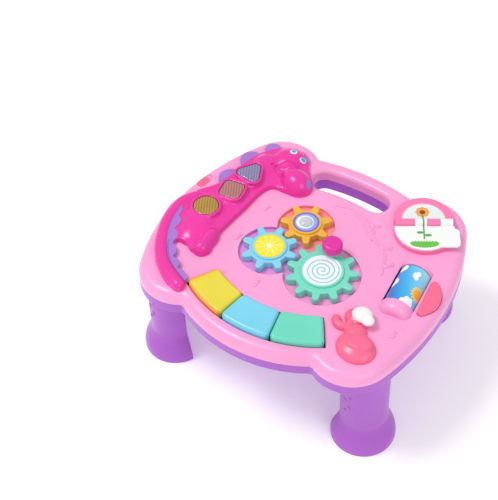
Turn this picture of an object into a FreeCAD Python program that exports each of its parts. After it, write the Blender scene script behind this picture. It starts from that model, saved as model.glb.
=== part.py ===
import FreeCAD, Part
import math
import os

os.makedirs("parts", exist_ok=True)
V = FreeCAD.Vector

# A musical activity table for a small child, in millimetres. The origin is the middle of the footprint
# on the floor, the child sits at the front (-Y), the carrying handle is at the back (+Y), +Z is up.

# Case, measured at its widest and from the floor to the play surface
play_z = 150.0
half_width = 170.5
half_depth = 147.5
shell_depth = 15.0
base_depth = 15.0
wall = 2.5
edge_round = 11.0
base_edge_round = 3.0
lip_height = 3.0
lip_wall = 1.4
lip_gap = 0.2

# Tangent arcs round the case: front, two front lobes, two sides each, two back lobes and the handle
front_radius = 162.0
front_lobe_radius = 48.5
front_lobe_setback = 63.0
side_front_radius = 213.0
side_back_radius = 275.0
widest_y = -18.0
back_lobe_radius = 48.0
handle_radius = 260.0
handle_setback = 4.5
front_notch_round = 6.0
back_notch_round = 5.0

# The right side is fuller than the left, round the picture disc
full_widest_y = 0.0
full_back_radius = 285.0

# Hand hole behind the play surface
handle_bar = 20.0
slot_width = 29.0
slot_half_length = 49.0
slot_edge_round = 6.0

# Clearances
running_gap = 0.08
seat_gap = 0.1
part_gap = 0.3
cut_over = 1.0

# Screws: one shank size, heads with a driver cross
screw_radius = 1.5
head_radius = 3.2
head_height = 1.8
cross_reach = 1.1
cross_width = 0.7

# Gear train: one module, three tooth counts
gear_module = 7.2
big_teeth = 11
blue_teeth = 8
yellow_teeth = 7
blue_x = -33.5
blue_y = -20.2
big_direction = -1.1
yellow_direction = 71.2
big_phase = 26.4
big_tooth_above = 0.9
blue_tooth_above = 3.5
yellow_tooth_above = 4.6
tooth_height = 9.5
tooth_sink = 1.0
tooth_base_width = 10.0
tooth_tip_width = 8.0
gear_rim_top = 5.5
gear_hub_top = 7.5
gear_lift = 0.8
gear_top_round = 1.5
hub_rim = 2.5
well_depth = 4.0
well_gap = 3.0
post_radius = 5.0
post_top = 2.4
web_top = 2.0
pocket_radius = 9.0
washer_radius = 7.5
washer_height = 1.6
gear_screw_length = 10.0
screw_boss_drop = 2.0

# Caps pressed into the gears
cap_depth = 2.2
big_cap_radius = 21.5
blue_cap_radius = 17.0
yellow_cap_radius = 15.0
dome_radius = 7.5
dome_height = 4.0

# Crank knob on the big gear
crank_radius = 29.0
crank_direction = 97.0
stem_foot_radius = 8.0
stem_radius = 7.0
stem_top = 12.0
knob_radius = 11.5
knob_top = 24.0
knob_round = 4.0
knob_cover = 3.0
crank_pin_radius = 2.5

# Three keys in one arc, about a centre behind them
key_front_margin = 16.5
key_inner_radius = 124.5
key_outer_radius = 163.0
key_arc = 64.6
key_count = 3
key_gap = 1.0
key_rise = 7.0
key_depth = 8.0
key_wall = 1.8
key_corner = 6.0
key_round = 4.0
key_travel = 3.0
flange_reach = 1.8
flange_height = 1.5
plunger_radius = 4.0
pad_radius = 6.0
pad_solid = 2.0
board_thickness = 1.6
key_board_drop = 14.4
key_board_margin = 3.0
board_post_radius = 3.0
key_post_inset = 6.0
key_post_swing = 4.0

# D-shaped push button at the right edge, beside the drum
button_inset = 23.6
button_y = 5.5
button_turn = 6.0
button_length = 57.0
button_reach = 18.0
button_rise = 4.0
button_depth = 8.0
button_round = 2.5
button_corner = 4.0
button_gap = 0.6
button_board_width = 12.0
button_board_length = 36.0

# Picture drum between two hoods
drum_inset = 45.7
drum_y = 7.3
drum_turn = 4.8
drum_radius = 18.0
drum_length = 52.0
drum_axis_drop = 7.0
drum_wall = 2.0
drum_hub_radius = 5.0
axle_radius = 2.0
window_side_gap = 1.0
window_end_gap = 0.6
hood_rise = 1.5
hood_wall = 2.2
front_hood_length = 15.0
front_hood_round = 8.0
back_hood_length = 4.0
bearing_width = 12.0
bearing_thickness = 4.0
bearing_above = 3.5

# Picture disc on the back right lobe: two half circles with a hinge band between them
disc_from_lobe = (-1.1, -2.3)
disc_radius = 34.4
hinge_band = 14.0
disc_height = 6.0
disc_round = 1.5
hinge_turn = 30.0
flap_inset = 0.6
flap_thickness = 2.0
flap_tab_side = 39.0
flap_tab_near = 9.0
flap_tab_far = 36.0
flap_tab_round = 6.0
barrel_radius = 5.2
flap_pin_radius = 1.5
knuckle_starts = (-33.0, -11.0, 3.3, 17.8)
knuckle_end = 32.2
pin_end_wall = 2.0
peg_radius = 2.5
peg_length = 9.0
peg_spread = 24.0

# Legs, each a D-shaped column on a bell-shaped foot with the flat side to the middle
front_leg_from_lobe = (19.0, -1.5)
back_leg_from_lobe = (13.3, 9.5)
column_radius = 27.0
column_flat = 10.0
foot_radius = 37.0
foot_flat = 13.0
foot_height = 36.0
foot_profile = ((0.0, 1.0), (0.25, 0.96), (0.55, 0.62), (0.8, 0.2), (1.0, 0.0))
leg_wall = 2.5
spigot_height = 13.0
spigot_inset = 5.0
socket_wall = 2.0
socket_gap = 0.3

# Dinosaur cover on the left side; its plan is drawn from its own left edge
dino_margin = 5.5
dino_height = 11.0
dino_round = 3.0
dino_wall = 2.2
dino_points = ((79, -116), (72, -121), (58, -118), (39.5, -105.5), (24, -89.5), (12, -69), (3, -45), (0, -21.5),
               (4, -4), (15, 14), (28, 32), (34, 52), (37, 75), (45, 100), (61, 120), (81, 129), (97, 124),
               (107, 108), (119, 95), (126, 82), (119, 69), (103, 63), (85, 61), (78, 45), (76, 19), (73, -5),
               (71, -30), (72, -50), (67, -63), (58, -67), (49, -62), (41, -60), (31, -69), (41, -86), (58, -99),
               (76, -108))
inset_points_each = 3
skull_place = (81.0, 108.0)
skull_half = (22.0, 21.0, 15.0)
skull_turn = 30.0
snout_place = (106.0, 81.0)
snout_half = (22.0, 18.0, 20.0)
snout_turn = -20.0
spike_height = 5.0
spike_places = ((36, 49, 14), (41, 87, 13), (55, 114, 10), (33, -76, 4.5), (43, -88, 4.5), (55, -97, 4.5),
                (67, -103, 4.5))
eye_places = ((82.8, 115.0, 15.6), (97.3, 112.0, 12.5))
eye_radius = 3.4
eye_rise = 0.8
eye_length = 4.0

# Lenses in the dinosaur's back, with the lamps under them
lens_rise = 1.5
lens_wall = 1.8
lens_seat = 1.5
lens_edge_round = 1.5
round_lens_place = (39.5, -8.0)
round_lens_radius = 14.5
square_lens_place = (51.5, 28.0)
square_lens_radius = 9.5
square_lens_corner = 6.0
square_lens_turn = 52.0
triangle_lens_place = (55.5, 62.0)
triangle_lens_radius = 9.5
triangle_lens_corner = 6.5
triangle_lens_turn = 84.0
lamp_radius = 2.5
lamp_round = 2.0
lamp_height = 6.0
lamp_hole_radius = 5.0
light_board_drop = 9.0
light_board_width = 16.0
light_post_places = ((51.0, 10.0), (53.0, 46.0))

# Elephant figure; its plan is drawn from the middle of the front right lobe
elephant_place = (7.5, -6.5)
elephant_half = (23.0, 20.0, 11.0)
elephant_turn = -15.0
elephant_head = (-9.0, 27.5)
elephant_head_half = (16.0, 12.5, 9.0)
neck_place = (-2.0, 10.5)
neck_half = (12.0, 13.0, 9.5)
haunch_place = (10.5, -6.0)
haunch_half = (15.5, 10.5, 13.0)
haunch_turn = 10.0
trunk_place = (-20.5, 18.5)
trunk_curl = 8.5
trunk_radius = 4.4
trunk_start = 198.0
trunk_sweep = 172.0
trunk_tip_latitude = -30.0
elephant_pegs = ((0.0, -1.5), (14.0, -13.5))
ear_place = (-5.0, 29.0)
ear_radius = 10.0
ear_lobe_place = (4.5, 26.0)
ear_lobe_radius = 6.5
ear_thickness = 4.0
ear_boss_radius = 5.5
ear_edge_round = 1.5
ear_pin_place = (-9.5, 28.5)
ear_pin_radius = 1.5
ear_pin_root = 3.0
ear_pin_head = 1.4

# Power slider on the left edge
switch_inset = 15.5
switch_y = 34.0
switch_turn = -8.0
switch_recess_length = 23.0
switch_recess_width = 11.0
switch_recess_depth = 2.6
switch_floor = 1.6
slider_length = 17.0
slider_width = 10.0
slider_rise = 2.0
slider_travel = 5.0
slider_rib_width = 1.6
slider_rib_length = 5.5
slider_rib_rise = 0.6
slider_stem_length = 6.0
slider_stem_width = 3.0
slider_stem_drop = 4.5
switch_body_length = 20.0
switch_body_width = 8.0
switch_body_height = 6.0

# Battery box for three AA cells, with a door in the base
cell_radius = 7.2
cell_length = 50.0
cell_count = 3
cell_pitch = 15.2
cell_nub = 1.5
cell_nub_radius = 2.7
battery_setback = 90.5
cell_clear = 0.5
contact_space = 3.0
contact_thickness = 0.5
contact_width = 11.5
contact_drop = 5.8
box_wall = 2.0
door_thickness = 2.4
door_ledge = 2.0
door_gap = 0.3
door_tab = 9.0
door_tab_width = 12.0
door_screw_length = 8.0

# Speaker behind its grille
speaker_x = -72.0
speaker_y = 20.0
speaker_radius = 20.0
speaker_height = 12.0
speaker_flange = 24.0
speaker_flange_height = 2.0
magnet_radius = 13.0
magnet_height = 5.0
speaker_screw_turns = (20.0, 200.0)
speaker_screw_length = 4.0
grille_rib = 1.5
grille_hole_radius = 1.6
grille_rings = 3
grille_ring_holes = 6
grille_pitch = 5.0

# Main board beside the battery box
main_board_x = 62.0
main_board_setback = 79.5
main_board_length = 46.0
main_board_width = 34.0
main_board_lift = 8.0
chip_radius = 7.0
chip_height = 2.5
board_screw_length = 5.0
board_head_radius = 2.6

# Case screws from below, in pillars at the sides, by the handle and behind the keys
side_screw_inset = 22.5
side_screw_y = -46.0
back_screw_inset = 24.5
back_screw_y = 62.0
handle_screw_from_lobe = (-23.7, 12.5)
middle_screw_space = 14.5
pillar_radius = 4.5
counterbore_radius = 3.6
counterbore_depth = 4.0
case_screw_length = 20.0

# Levels worked out from the sizes above
split_z = play_z - shell_depth
base_z = split_z - base_depth
floor_z = base_z + wall
ceiling_z = play_z - wall
well_z = play_z - well_depth
drum_z = play_z - drum_axis_drop
key_board_z = play_z - key_board_drop
pad_height = key_travel + pad_solid
pad_top_z = key_board_z + pad_height
light_board_z = play_z - light_board_drop
dino_z = play_z + dino_height
lens_z = dino_z + lens_rise
ear_z = play_z + elephant_head_half[2] + part_gap
ear_top_z = ear_z + ear_thickness

# Centres worked out from the tangent arcs
front_centre = (0.0, front_radius - half_depth)
side_front_centre = (half_width - side_front_radius, widest_y)
side_back_centre = (half_width - side_back_radius, widest_y)
handle_centre = (0.0, half_depth - handle_setback - handle_radius)
slot_mid_radius = handle_radius - handle_bar - slot_width / 2
key_centre = (0.0, key_outer_radius + key_front_margin - half_depth)


def nested_x(outer_centre, outer_radius, radius, y):
    """X of a circle at height y that touches a larger circle from inside."""
    rise = y - outer_centre[1]
    return outer_centre[0] + math.sqrt((outer_radius - radius) ** 2 - rise ** 2)


front_lobe_y = front_lobe_setback - half_depth
back_lobe_y = half_depth - back_lobe_radius
front_lobe_centre = (nested_x(side_front_centre, side_front_radius, front_lobe_radius, front_lobe_y),
                     front_lobe_y)
back_lobe_centre = (nested_x(side_back_centre, side_back_radius, back_lobe_radius, back_lobe_y), back_lobe_y)
full_back_centre = (half_width - full_back_radius, full_widest_y)
disc_lobe_centre = (nested_x(full_back_centre, full_back_radius, back_lobe_radius, back_lobe_y), back_lobe_y)


def radius_to_lobe(widest, lobe, radius):
    """Radius of the side arc that is widest at a given y and touches a lobe from outside."""
    across = half_width - lobe[0]
    along = widest - lobe[1]
    return (across ** 2 + along ** 2 - radius ** 2) / (2 * (across - radius))


full_front_radius = radius_to_lobe(full_widest_y, front_lobe_centre, front_lobe_radius)


def beside(centre, offset):
    """Point at an offset from a centre."""
    return (centre[0] + offset[0], centre[1] + offset[1])


def on_dino(point):
    """Point of the dinosaur's own plan, at its place on the case."""
    return (point[0] + dino_margin - half_width, point[1])


def on_corner(point):
    """Point of the elephant's own plan, at its place on the case."""
    return beside(front_lobe_centre, point)


def both_sides(points):
    """Points on the right with their mirror images on the left."""
    return points + [(-x, y) for x, y in points]


case_screw_places = both_sides([
    (half_width - side_screw_inset, side_screw_y),
    (half_width - back_screw_inset, back_screw_y),
    beside(back_lobe_centre, handle_screw_from_lobe),
]) + [(0.0, key_centre[1] - key_inner_radius + middle_screw_space)]


# Plane geometry

def polar(centre, radius, degrees):
    """Point at a radius and direction from a centre."""
    angle = math.radians(degrees)
    return (centre[0] + radius * math.cos(angle), centre[1] + radius * math.sin(angle))


def vec(point, z=0.0):
    return V(point[0], point[1], z)


def line(a, b):
    return Part.LineSegment(vec(a), vec(b)).toShape()


def arc(centre, radius, start, end):
    """Arc from one direction to another, in degrees, turning the way that end lies from start."""
    middle = (start + end) / 2
    points = [vec(polar(centre, radius, a)) for a in (start, middle, end)]
    return Part.Arc(*points).toShape()


def prism(wire, low, high):
    face = Part.Face(wire)
    face.translate(V(0, 0, low))
    return face.extrude(V(0, 0, high - low))


def cylinder(centre, radius, low, high):
    return Part.makeCylinder(radius, high - low, vec(centre, low))


def ring(centre, outer, inner, low, high):
    return cylinder(centre, outer, low, high).cut(cylinder(centre, inner, low - cut_over, high + cut_over))


def block(centre, length, width, low, high, turn=0.0):
    """Box about a plan centre, length along its own X, turned about Z."""
    box = Part.makeBox(length, width, high - low, V(-length / 2, -width / 2, low))
    box.rotate(V(0, 0, 0), V(0, 0, 1), turn)
    box.translate(vec(centre))
    return box


def ellipsoid(centre, z, half_x, half_y, half_z, turn=0.0, lowest=-90.0):
    """Ellipsoid from a unit sphere; its upper half where the lowest latitude is 0."""
    ball = Part.makeSphere(1.0, V(0, 0, 0), V(0, 0, 1), lowest, 90, 360)
    matrix = FreeCAD.Matrix()
    matrix.scale(half_x, half_y, half_z)
    ball = ball.transformGeometry(matrix)
    ball.rotate(V(0, 0, 0), V(0, 0, 1), turn)
    ball.translate(vec(centre, z))
    return ball


def edges_at(shape, z):
    """Edges that lie wholly at one level."""
    found = []
    for edge in shape.Edges:
        box = edge.BoundBox
        if abs(box.ZMin - z) < 1e-4 and abs(box.ZMax - z) < 1e-4:
            found.append(edge)
    return found


def upright_edges(shape):
    """Edges of a prism that run along Z over its whole height."""
    return [e for e in shape.Edges if e.BoundBox.ZLength > shape.BoundBox.ZLength - cut_over]


def joined(shapes):
    return shapes[0].multiFuse(shapes[1:]).removeSplitter()


def meet(centre_a, radius_a, centre_b, radius_b, upper):
    """Upper or lower crossing of two circles."""
    dx = centre_b[0] - centre_a[0]
    dy = centre_b[1] - centre_a[1]
    gap = math.hypot(dx, dy)
    along = (radius_a ** 2 - radius_b ** 2 + gap ** 2) / (2 * gap)
    aside = math.sqrt(radius_a ** 2 - along ** 2)
    foot = (centre_a[0] + along * dx / gap, centre_a[1] + along * dy / gap)
    one = (foot[0] - aside * dy / gap, foot[1] + aside * dx / gap)
    two = (foot[0] + aside * dy / gap, foot[1] - aside * dx / gap)
    high, low = (one, two) if one[1] > two[1] else (two, one)
    return high if upper else low


def touch(first, second):
    """Point where two tangent circles of an outline meet."""
    centre, radius, bulges = first
    other, other_radius, other_bulges = second
    dx = other[0] - centre[0]
    dy = other[1] - centre[1]
    reach = radius / math.hypot(dx, dy)
    if bulges == other_bulges and radius < other_radius:
        reach = -reach
    return (centre[0] + dx * reach, centre[1] + dy * reach)


def smooth_wire(circles):
    """Closed wire of arcs on tangent circles, counter-clockwise."""
    edges = []
    count = len(circles)
    for i, circle in enumerate(circles):
        centre, radius, bulges = circle
        start = touch(circle, circles[i - 1])
        end = touch(circle, circles[(i + 1) % count])
        a = math.degrees(math.atan2(start[1] - centre[1], start[0] - centre[0]))
        b = math.degrees(math.atan2(end[1] - centre[1], end[0] - centre[0]))
        if bulges and b < a:
            b += 360
        if not bulges and b > a:
            b -= 360
        middle = polar(centre, radius, (a + b) / 2)
        edges.append(Part.Arc(vec(start), vec(middle), vec(end)).toShape())
    return Part.Wire(edges)


def side_circles(widest, front_side_radius, back_side_radius, back_lobe):
    """Circles along one side of the outline, from the front notch to the back notch."""
    front_notch = meet(front_centre, front_radius + front_notch_round,
                       front_lobe_centre, front_lobe_radius + front_notch_round, False)
    back_notch = meet(handle_centre, handle_radius + back_notch_round,
                      back_lobe, back_lobe_radius + back_notch_round, True)
    return [
        (front_notch, front_notch_round, False),
        (front_lobe_centre, front_lobe_radius, True),
        ((half_width - front_side_radius, widest), front_side_radius, True),
        ((half_width - back_side_radius, widest), back_side_radius, True),
        (back_lobe, back_lobe_radius, True),
        (back_notch, back_notch_round, False),
    ]


def case_outline(inset):
    """Outline of the case, drawn in by an inset."""
    right = side_circles(full_widest_y, full_front_radius, full_back_radius, disc_lobe_centre)
    left = side_circles(widest_y, side_front_radius, side_back_radius, back_lobe_centre)
    left = [((-c[0], c[1]), r, bulges) for c, r, bulges in reversed(left)]
    whole = [(front_centre, front_radius, True)] + right + [(handle_centre, handle_radius, True)] + left
    drawn = [(c, r - inset if bulges else r + inset, bulges) for c, r, bulges in whole]
    return smooth_wire(drawn)


def slot_outline(outset):
    """Outline of the hand hole, a slot bent along the handle, let out by an outset."""
    half = slot_width / 2
    swing = math.degrees(math.asin((slot_half_length - half) / slot_mid_radius))
    low = 90 - swing
    high = 90 + swing
    cap = half + outset
    right = polar(handle_centre, slot_mid_radius, low)
    left = polar(handle_centre, slot_mid_radius, high)
    return Part.Wire([
        arc(handle_centre, slot_mid_radius + cap, low, high),
        arc(left, cap, high, high + 180),
        arc(handle_centre, slot_mid_radius - cap, high, low),
        arc(right, cap, low + 180, low + 360),
    ])


def sector_wire(centre, inner, outer, start, end):
    """Ring sector between two directions, in degrees."""
    return Part.Wire([
        arc(centre, outer, start, end),
        line(polar(centre, outer, end), polar(centre, inner, end)),
        arc(centre, inner, end, start),
        line(polar(centre, inner, start), polar(centre, outer, start)),
    ])


def stadium_wire(length, width):
    """Round-ended slot about the origin, along X."""
    half = width / 2
    run = length / 2 - half
    return Part.Wire([
        line((-run, -half), (run, -half)),
        arc((run, 0), half, -90, 90),
        line((run, half), (-run, half)),
        arc((-run, 0), half, 90, 270),
    ])


def placed_prism(wire, centre, turn, low, high):
    """Prism of a wire drawn about the origin, turned and moved to its place."""
    body = prism(wire, low, high)
    body.rotate(V(0, 0, 0), V(0, 0, 1), turn)
    body.translate(vec(centre))
    return body


def screw_down(centre, seat_z, length, head, head_thick):
    """Screw driven from above: its head stands on seat_z and its shank runs down."""
    body = cylinder(centre, head, seat_z, seat_z + head_thick)
    body = body.fuse(cylinder(centre, screw_radius, seat_z - length, seat_z))
    return cross_recess(body, centre, head, seat_z + head_thick / 2, seat_z + head_thick + cut_over)


def screw_up(centre, seat_z, length, head, head_thick):
    """Screw driven from below: its head hangs under seat_z and its shank runs up."""
    body = cylinder(centre, head, seat_z - head_thick, seat_z)
    body = body.fuse(cylinder(centre, screw_radius, seat_z, seat_z + length))
    return cross_recess(body, centre, head, seat_z - head_thick - cut_over, seat_z - head_thick / 2)


def cross_recess(body, centre, head, low, high):
    """Driver cross cut into a screw head."""
    for turn in (45, 135):
        body = body.cut(block(centre, head * cross_reach, cross_width, low, high, turn))
    return body


# Case

def case_block(inset, low, high, edge, slot_edge):
    """Solid case form with rounded top edges outside and round the hand hole."""
    body = prism(case_outline(inset), low, high)
    body = body.makeFillet(edge, edges_at(body, high))
    body = body.cut(prism(slot_outline(inset), low - cut_over, high + cut_over))
    limit = slot_mid_radius + slot_width / 2 + inset + cut_over
    rims = []
    for edge_at_top in edges_at(body, high):
        middle = edge_at_top.BoundBox.Center
        reach = math.hypot(middle.x - handle_centre[0], middle.y - handle_centre[1])
        if slot_mid_radius - slot_width < reach < limit and abs(middle.x) < slot_half_length + inset + cut_over:
            rims.append(edge_at_top)
    return body.makeFillet(slot_edge, rims)


outer_case = case_block(0, split_z, play_z, edge_round, slot_edge_round)
inner_case = case_block(wall, split_z - cut_over, ceiling_z, edge_round - wall, slot_edge_round - wall)


def export(name, shape):
    """Write one sub-part, checked first."""
    if not shape.isValid():
        print("not valid:", name)
    shape.exportStep("parts/" + name + ".step")
    print(name, len(shape.Solids), "solids", round(shape.Volume), "mm3")


# Gear sizes

def pitch_radius(teeth):
    return gear_module * teeth / 2


blue_centre = (blue_x, blue_y)
big_centre = polar(blue_centre, pitch_radius(big_teeth) + pitch_radius(blue_teeth), big_direction)
yellow_centre = polar(blue_centre, pitch_radius(blue_teeth) + pitch_radius(yellow_teeth), yellow_direction)

big_outer = pitch_radius(big_teeth) + big_tooth_above
blue_outer = pitch_radius(blue_teeth) + blue_tooth_above
yellow_outer = pitch_radius(yellow_teeth) + yellow_tooth_above


def meshed_phase(phase, teeth, direction, other_teeth):
    """Phase of a gear that puts a tooth in the gap that the driving gear turns to it."""
    step = 360 / teeth
    gap_angle = phase + step * (math.floor((direction - phase) / step) + 0.5)
    return direction + 180 - (gap_angle - direction) * teeth / other_teeth


blue_phase = meshed_phase(big_phase, big_teeth, big_direction + 180, blue_teeth)
yellow_phase = meshed_phase(blue_phase, blue_teeth, yellow_direction, yellow_teeth)
gear_bottom = well_z + gear_lift
gear_rim_z = play_z + gear_rim_top
gear_hub_z = play_z + gear_hub_top
cap_seat_z = gear_hub_z - cap_depth
web_z = play_z + web_top
post_z = play_z + post_top
gear_places = ((big_centre, big_outer), (blue_centre, blue_outer), (yellow_centre, yellow_outer))
crank_centre = polar(big_centre, crank_radius, crank_direction)


def tooth_wire(outer):
    """One finger-shaped tooth along +X: two round ends joined by their tangents."""
    base = tooth_base_width / 2
    tip = tooth_tip_width / 2
    base_x = outer - tooth_height - tooth_sink
    tip_x = outer - tip
    up = 90 - math.degrees(math.asin((base - tip) / (tip_x - base_x)))
    return Part.Wire([
        line(polar((base_x, 0), base, -up), polar((tip_x, 0), tip, -up)),
        arc((tip_x, 0), tip, -up, up),
        line(polar((tip_x, 0), tip, up), polar((base_x, 0), base, up)),
        arc((base_x, 0), base, up, 360 - up),
    ])


def gear(centre, teeth, outer, phase, cap_radius):
    """Gear with finger teeth, a raised hub, a cap recess, a screw pocket and a hollow underside."""
    root = outer - tooth_height
    shapes = [cylinder((0, 0), root, gear_bottom, gear_rim_z)]
    for i in range(teeth):
        tooth = prism(tooth_wire(outer), gear_bottom, gear_rim_z)
        tooth.rotate(V(0, 0, 0), V(0, 0, 1), phase + i * 360 / teeth)
        shapes.append(tooth)
    body = joined(shapes)
    body = body.makeFillet(gear_top_round, edges_at(body, gear_rim_z))
    body.translate(vec(centre))
    body = body.fuse(cylinder(centre, cap_radius + hub_rim, gear_rim_z, gear_hub_z))
    body = body.cut(cylinder(centre, cap_radius + seat_gap, cap_seat_z, gear_hub_z + cut_over))
    body = body.cut(cylinder(centre, pocket_radius, web_z, cap_seat_z + cut_over))
    body = body.cut(cylinder(centre, post_radius + running_gap, gear_bottom - cut_over, web_z + cut_over))
    relief = ring(centre, root - wall, pocket_radius + wall, gear_bottom - cut_over, cap_seat_z - wall)
    return body.cut(relief)


def gear_cap(centre, radius, inner=0.0):
    """Round cap pressed into a gear's recess, flush with its hub; a ring where it has an inner radius."""
    cap = cylinder(centre, radius, cap_seat_z, gear_hub_z)
    if inner:
        cap = cap.cut(cylinder(centre, inner + seat_gap, cap_seat_z - cut_over, gear_hub_z + cut_over))
    return cap


def big_gear():
    body = gear(big_centre, big_teeth, big_outer, big_phase, big_cap_radius)
    stem = Part.makeCone(stem_foot_radius, stem_radius, stem_top - gear_rim_top, vec(crank_centre, gear_rim_z))
    stem = stem.cut(cylinder(big_centre, big_cap_radius + seat_gap, gear_rim_z - cut_over, play_z + stem_top))
    body = body.fuse(stem)
    return body.cut(cylinder(crank_centre, crank_pin_radius, crank_pin_low, play_z + knob_top))


def yellow_dome():
    """Clear dome that stands in the ring on the yellow gear."""
    dome = cylinder(yellow_centre, dome_radius, cap_seat_z, gear_hub_z)
    return dome.fuse(ellipsoid(yellow_centre, gear_hub_z, dome_radius, dome_radius, dome_height, 0, 0))


def crank_knob():
    low = play_z + stem_top + part_gap
    high = play_z + knob_top
    knob = cylinder(crank_centre, knob_radius, low, high)
    knob = knob.makeFillet(knob_round, edges_at(knob, high))
    knob = knob.makeFillet(knob_round / 2, edges_at(knob, low))
    return knob.cut(cylinder(crank_centre, crank_pin_radius + running_gap, low - cut_over, high - knob_cover))


crank_pin_low = cap_seat_z
crank_pin_high = play_z + knob_top - knob_cover - part_gap

export("gear_big", big_gear())
export("gear_blue", gear(blue_centre, blue_teeth, blue_outer, blue_phase, blue_cap_radius))
export("gear_yellow", gear(yellow_centre, yellow_teeth, yellow_outer, yellow_phase, yellow_cap_radius))
export("gear_big_disc", gear_cap(big_centre, big_cap_radius))
export("gear_blue_disc", gear_cap(blue_centre, blue_cap_radius))
export("gear_yellow_ring", gear_cap(yellow_centre, yellow_cap_radius, dome_radius))
export("gear_yellow_dome", yellow_dome())
export("gear_screws", Part.makeCompound([
    screw_down(c, post_z, gear_screw_length, washer_radius, washer_height) for c, r in gear_places]))
export("crank_pin", cylinder(crank_centre, crank_pin_radius, crank_pin_low, crank_pin_high))
export("crank_knob", crank_knob())


# Keys

key_start = 270 - key_arc / 2
key_step = key_arc / key_count
key_mid_radius = (key_inner_radius + key_outer_radius) / 2
key_top_z = play_z + key_rise
key_low_z = play_z - key_depth
flange_z = ceiling_z - part_gap


def swing(length):
    """Angle that an arc length takes up at the middle of the keys."""
    return math.degrees(length / key_mid_radius)


def key(index):
    """Hollow key with retaining flanges front and back and a plunger over its rubber pad."""
    start = key_start + index * key_step + swing(key_gap / 2)
    end = start + key_step - swing(key_gap)
    inner = key_inner_radius
    outer = key_outer_radius
    body = prism(sector_wire(key_centre, inner, outer, start, end), key_low_z, key_top_z)
    body = body.makeFillet(key_corner, upright_edges(body))
    body = body.makeFillet(key_round, edges_at(body, key_top_z))
    lips = prism(sector_wire(key_centre, inner - flange_reach, outer + flange_reach, start + swing(key_wall),
                             end - swing(key_wall)), flange_z - flange_height, flange_z)
    body = body.fuse(lips)
    hollow = prism(sector_wire(key_centre, inner + key_wall, outer - key_wall, start + swing(key_wall),
                               end - swing(key_wall)), key_low_z - cut_over, key_top_z - key_wall)
    body = body.cut(hollow)
    middle = polar(key_centre, key_mid_radius, (start + end) / 2)
    return body.fuse(cylinder(middle, plunger_radius, pad_top_z, key_top_z - key_wall))


def key_pad(index):
    """Rubber dome between a key's plunger and the key board."""
    middle = polar(key_centre, key_mid_radius, key_start + index * key_step + key_step / 2)
    return Part.makeCone(pad_radius, plunger_radius, pad_height, vec(middle, key_board_z))


def key_board():
    """Curved circuit board under the keys."""
    wire = sector_wire(key_centre, key_inner_radius + key_board_margin, key_outer_radius - key_board_margin,
                       key_start + swing(key_board_margin), key_start + key_arc - swing(key_board_margin))
    return prism(wire, key_board_z - board_thickness, key_board_z)


def key_opening():
    start = key_start - swing(key_gap / 2)
    wire = sector_wire(key_centre, key_inner_radius - key_gap, key_outer_radius + key_gap,
                       start, key_start + key_arc + swing(key_gap / 2))
    return prism(wire, ceiling_z - cut_over, play_z + cut_over)


key_names = ("yellow", "blue", "teal")
for number, name in enumerate(key_names):
    export("key_" + name, key(number))
    export("key_pad_" + name, key_pad(number))
export("key_board", key_board())


# Side button

button_place = (half_width - button_inset, button_y)
button_board_centre = polar(button_place, button_reach / 2, button_turn)


def half_moon(outset, low, high):
    """Half-moon prism with its straight side on the left and rounded corners."""
    half = button_length / 2 + outset
    reach = button_reach + outset
    left = -outset
    depth = reach - left
    radius = (half ** 2 + depth ** 2) / (2 * depth)
    opening = math.degrees(math.asin(half / radius))
    wire = Part.Wire([
        line((left, half), (left, -half)),
        arc((reach - radius, 0), radius, -opening, opening),
    ])
    body = prism(wire, low, high)
    body = body.makeFillet(button_corner + outset, upright_edges(body))
    body.rotate(V(0, 0, 0), V(0, 0, 1), button_turn)
    body.translate(vec(button_place))
    return body


def side_button():
    high = play_z + button_rise
    body = half_moon(0, play_z - button_depth, high)
    body = body.makeFillet(button_round, edges_at(body, high))
    tab = block((0, 0), key_wall + flange_reach, button_length / 2, flange_z - flange_height, flange_z)
    tab.translate(V((key_wall - flange_reach) / 2, 0, 0))
    tab.rotate(V(0, 0, 0), V(0, 0, 1), button_turn)
    tab.translate(vec(button_place))
    body = body.fuse(tab)
    body = body.cut(half_moon(-key_wall, play_z - button_depth - cut_over, high - key_wall))
    return body.fuse(cylinder(button_board_centre, plunger_radius, pad_top_z, high - key_wall))


export("side_button", side_button())
export("side_button_pad", Part.makeCone(pad_radius, plunger_radius, pad_height,
                                        vec(button_board_centre, key_board_z)))
export("button_board", block(button_board_centre, button_board_width, button_board_length,
                             key_board_z - board_thickness, key_board_z, button_turn))


# Drum and its hoods; s runs along the axle towards the back

drum_centre = (half_width - drum_inset, drum_y)
drum_half = drum_length / 2
hood_start = drum_half + window_end_gap
bearing_middle = hood_start + window_end_gap + bearing_thickness / 2
hood_outer = drum_radius + hood_rise
hood_inner = hood_outer - hood_wall


def rod(radius, start, end):
    """Round rod on the drum's axle line between two places along it."""
    body = Part.makeCylinder(radius, end - start, V(0, start, drum_z), V(0, 1, 0))
    body.rotate(V(0, 0, 0), V(0, 0, 1), drum_turn)
    body.translate(vec(drum_centre))
    return body


def drum_block(half, start, end, low, high):
    """Box across the drum's axle line."""
    box = Part.makeBox(half * 2, end - start, high - low, V(-half, start, low))
    box.rotate(V(0, 0, 0), V(0, 0, 1), drum_turn)
    box.translate(vec(drum_centre))
    return box


def roller_drum():
    body = rod(drum_radius, -drum_half, drum_half)
    body = body.cut(rod(drum_radius - drum_wall, drum_wall - drum_half, drum_half - drum_wall))
    body = body.fuse(rod(drum_hub_radius, -drum_half, drum_half))
    return body.cut(rod(axle_radius + running_gap, -drum_half - cut_over, drum_half + cut_over))


def hood(start, end, radius):
    """Half round hood on the play surface in line with the drum, its front edge rounded."""
    body = rod(radius, start, end)
    return body.common(drum_block(radius + cut_over, start - cut_over, end + cut_over,
                                  ceiling_z, drum_z + radius + cut_over))


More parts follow.
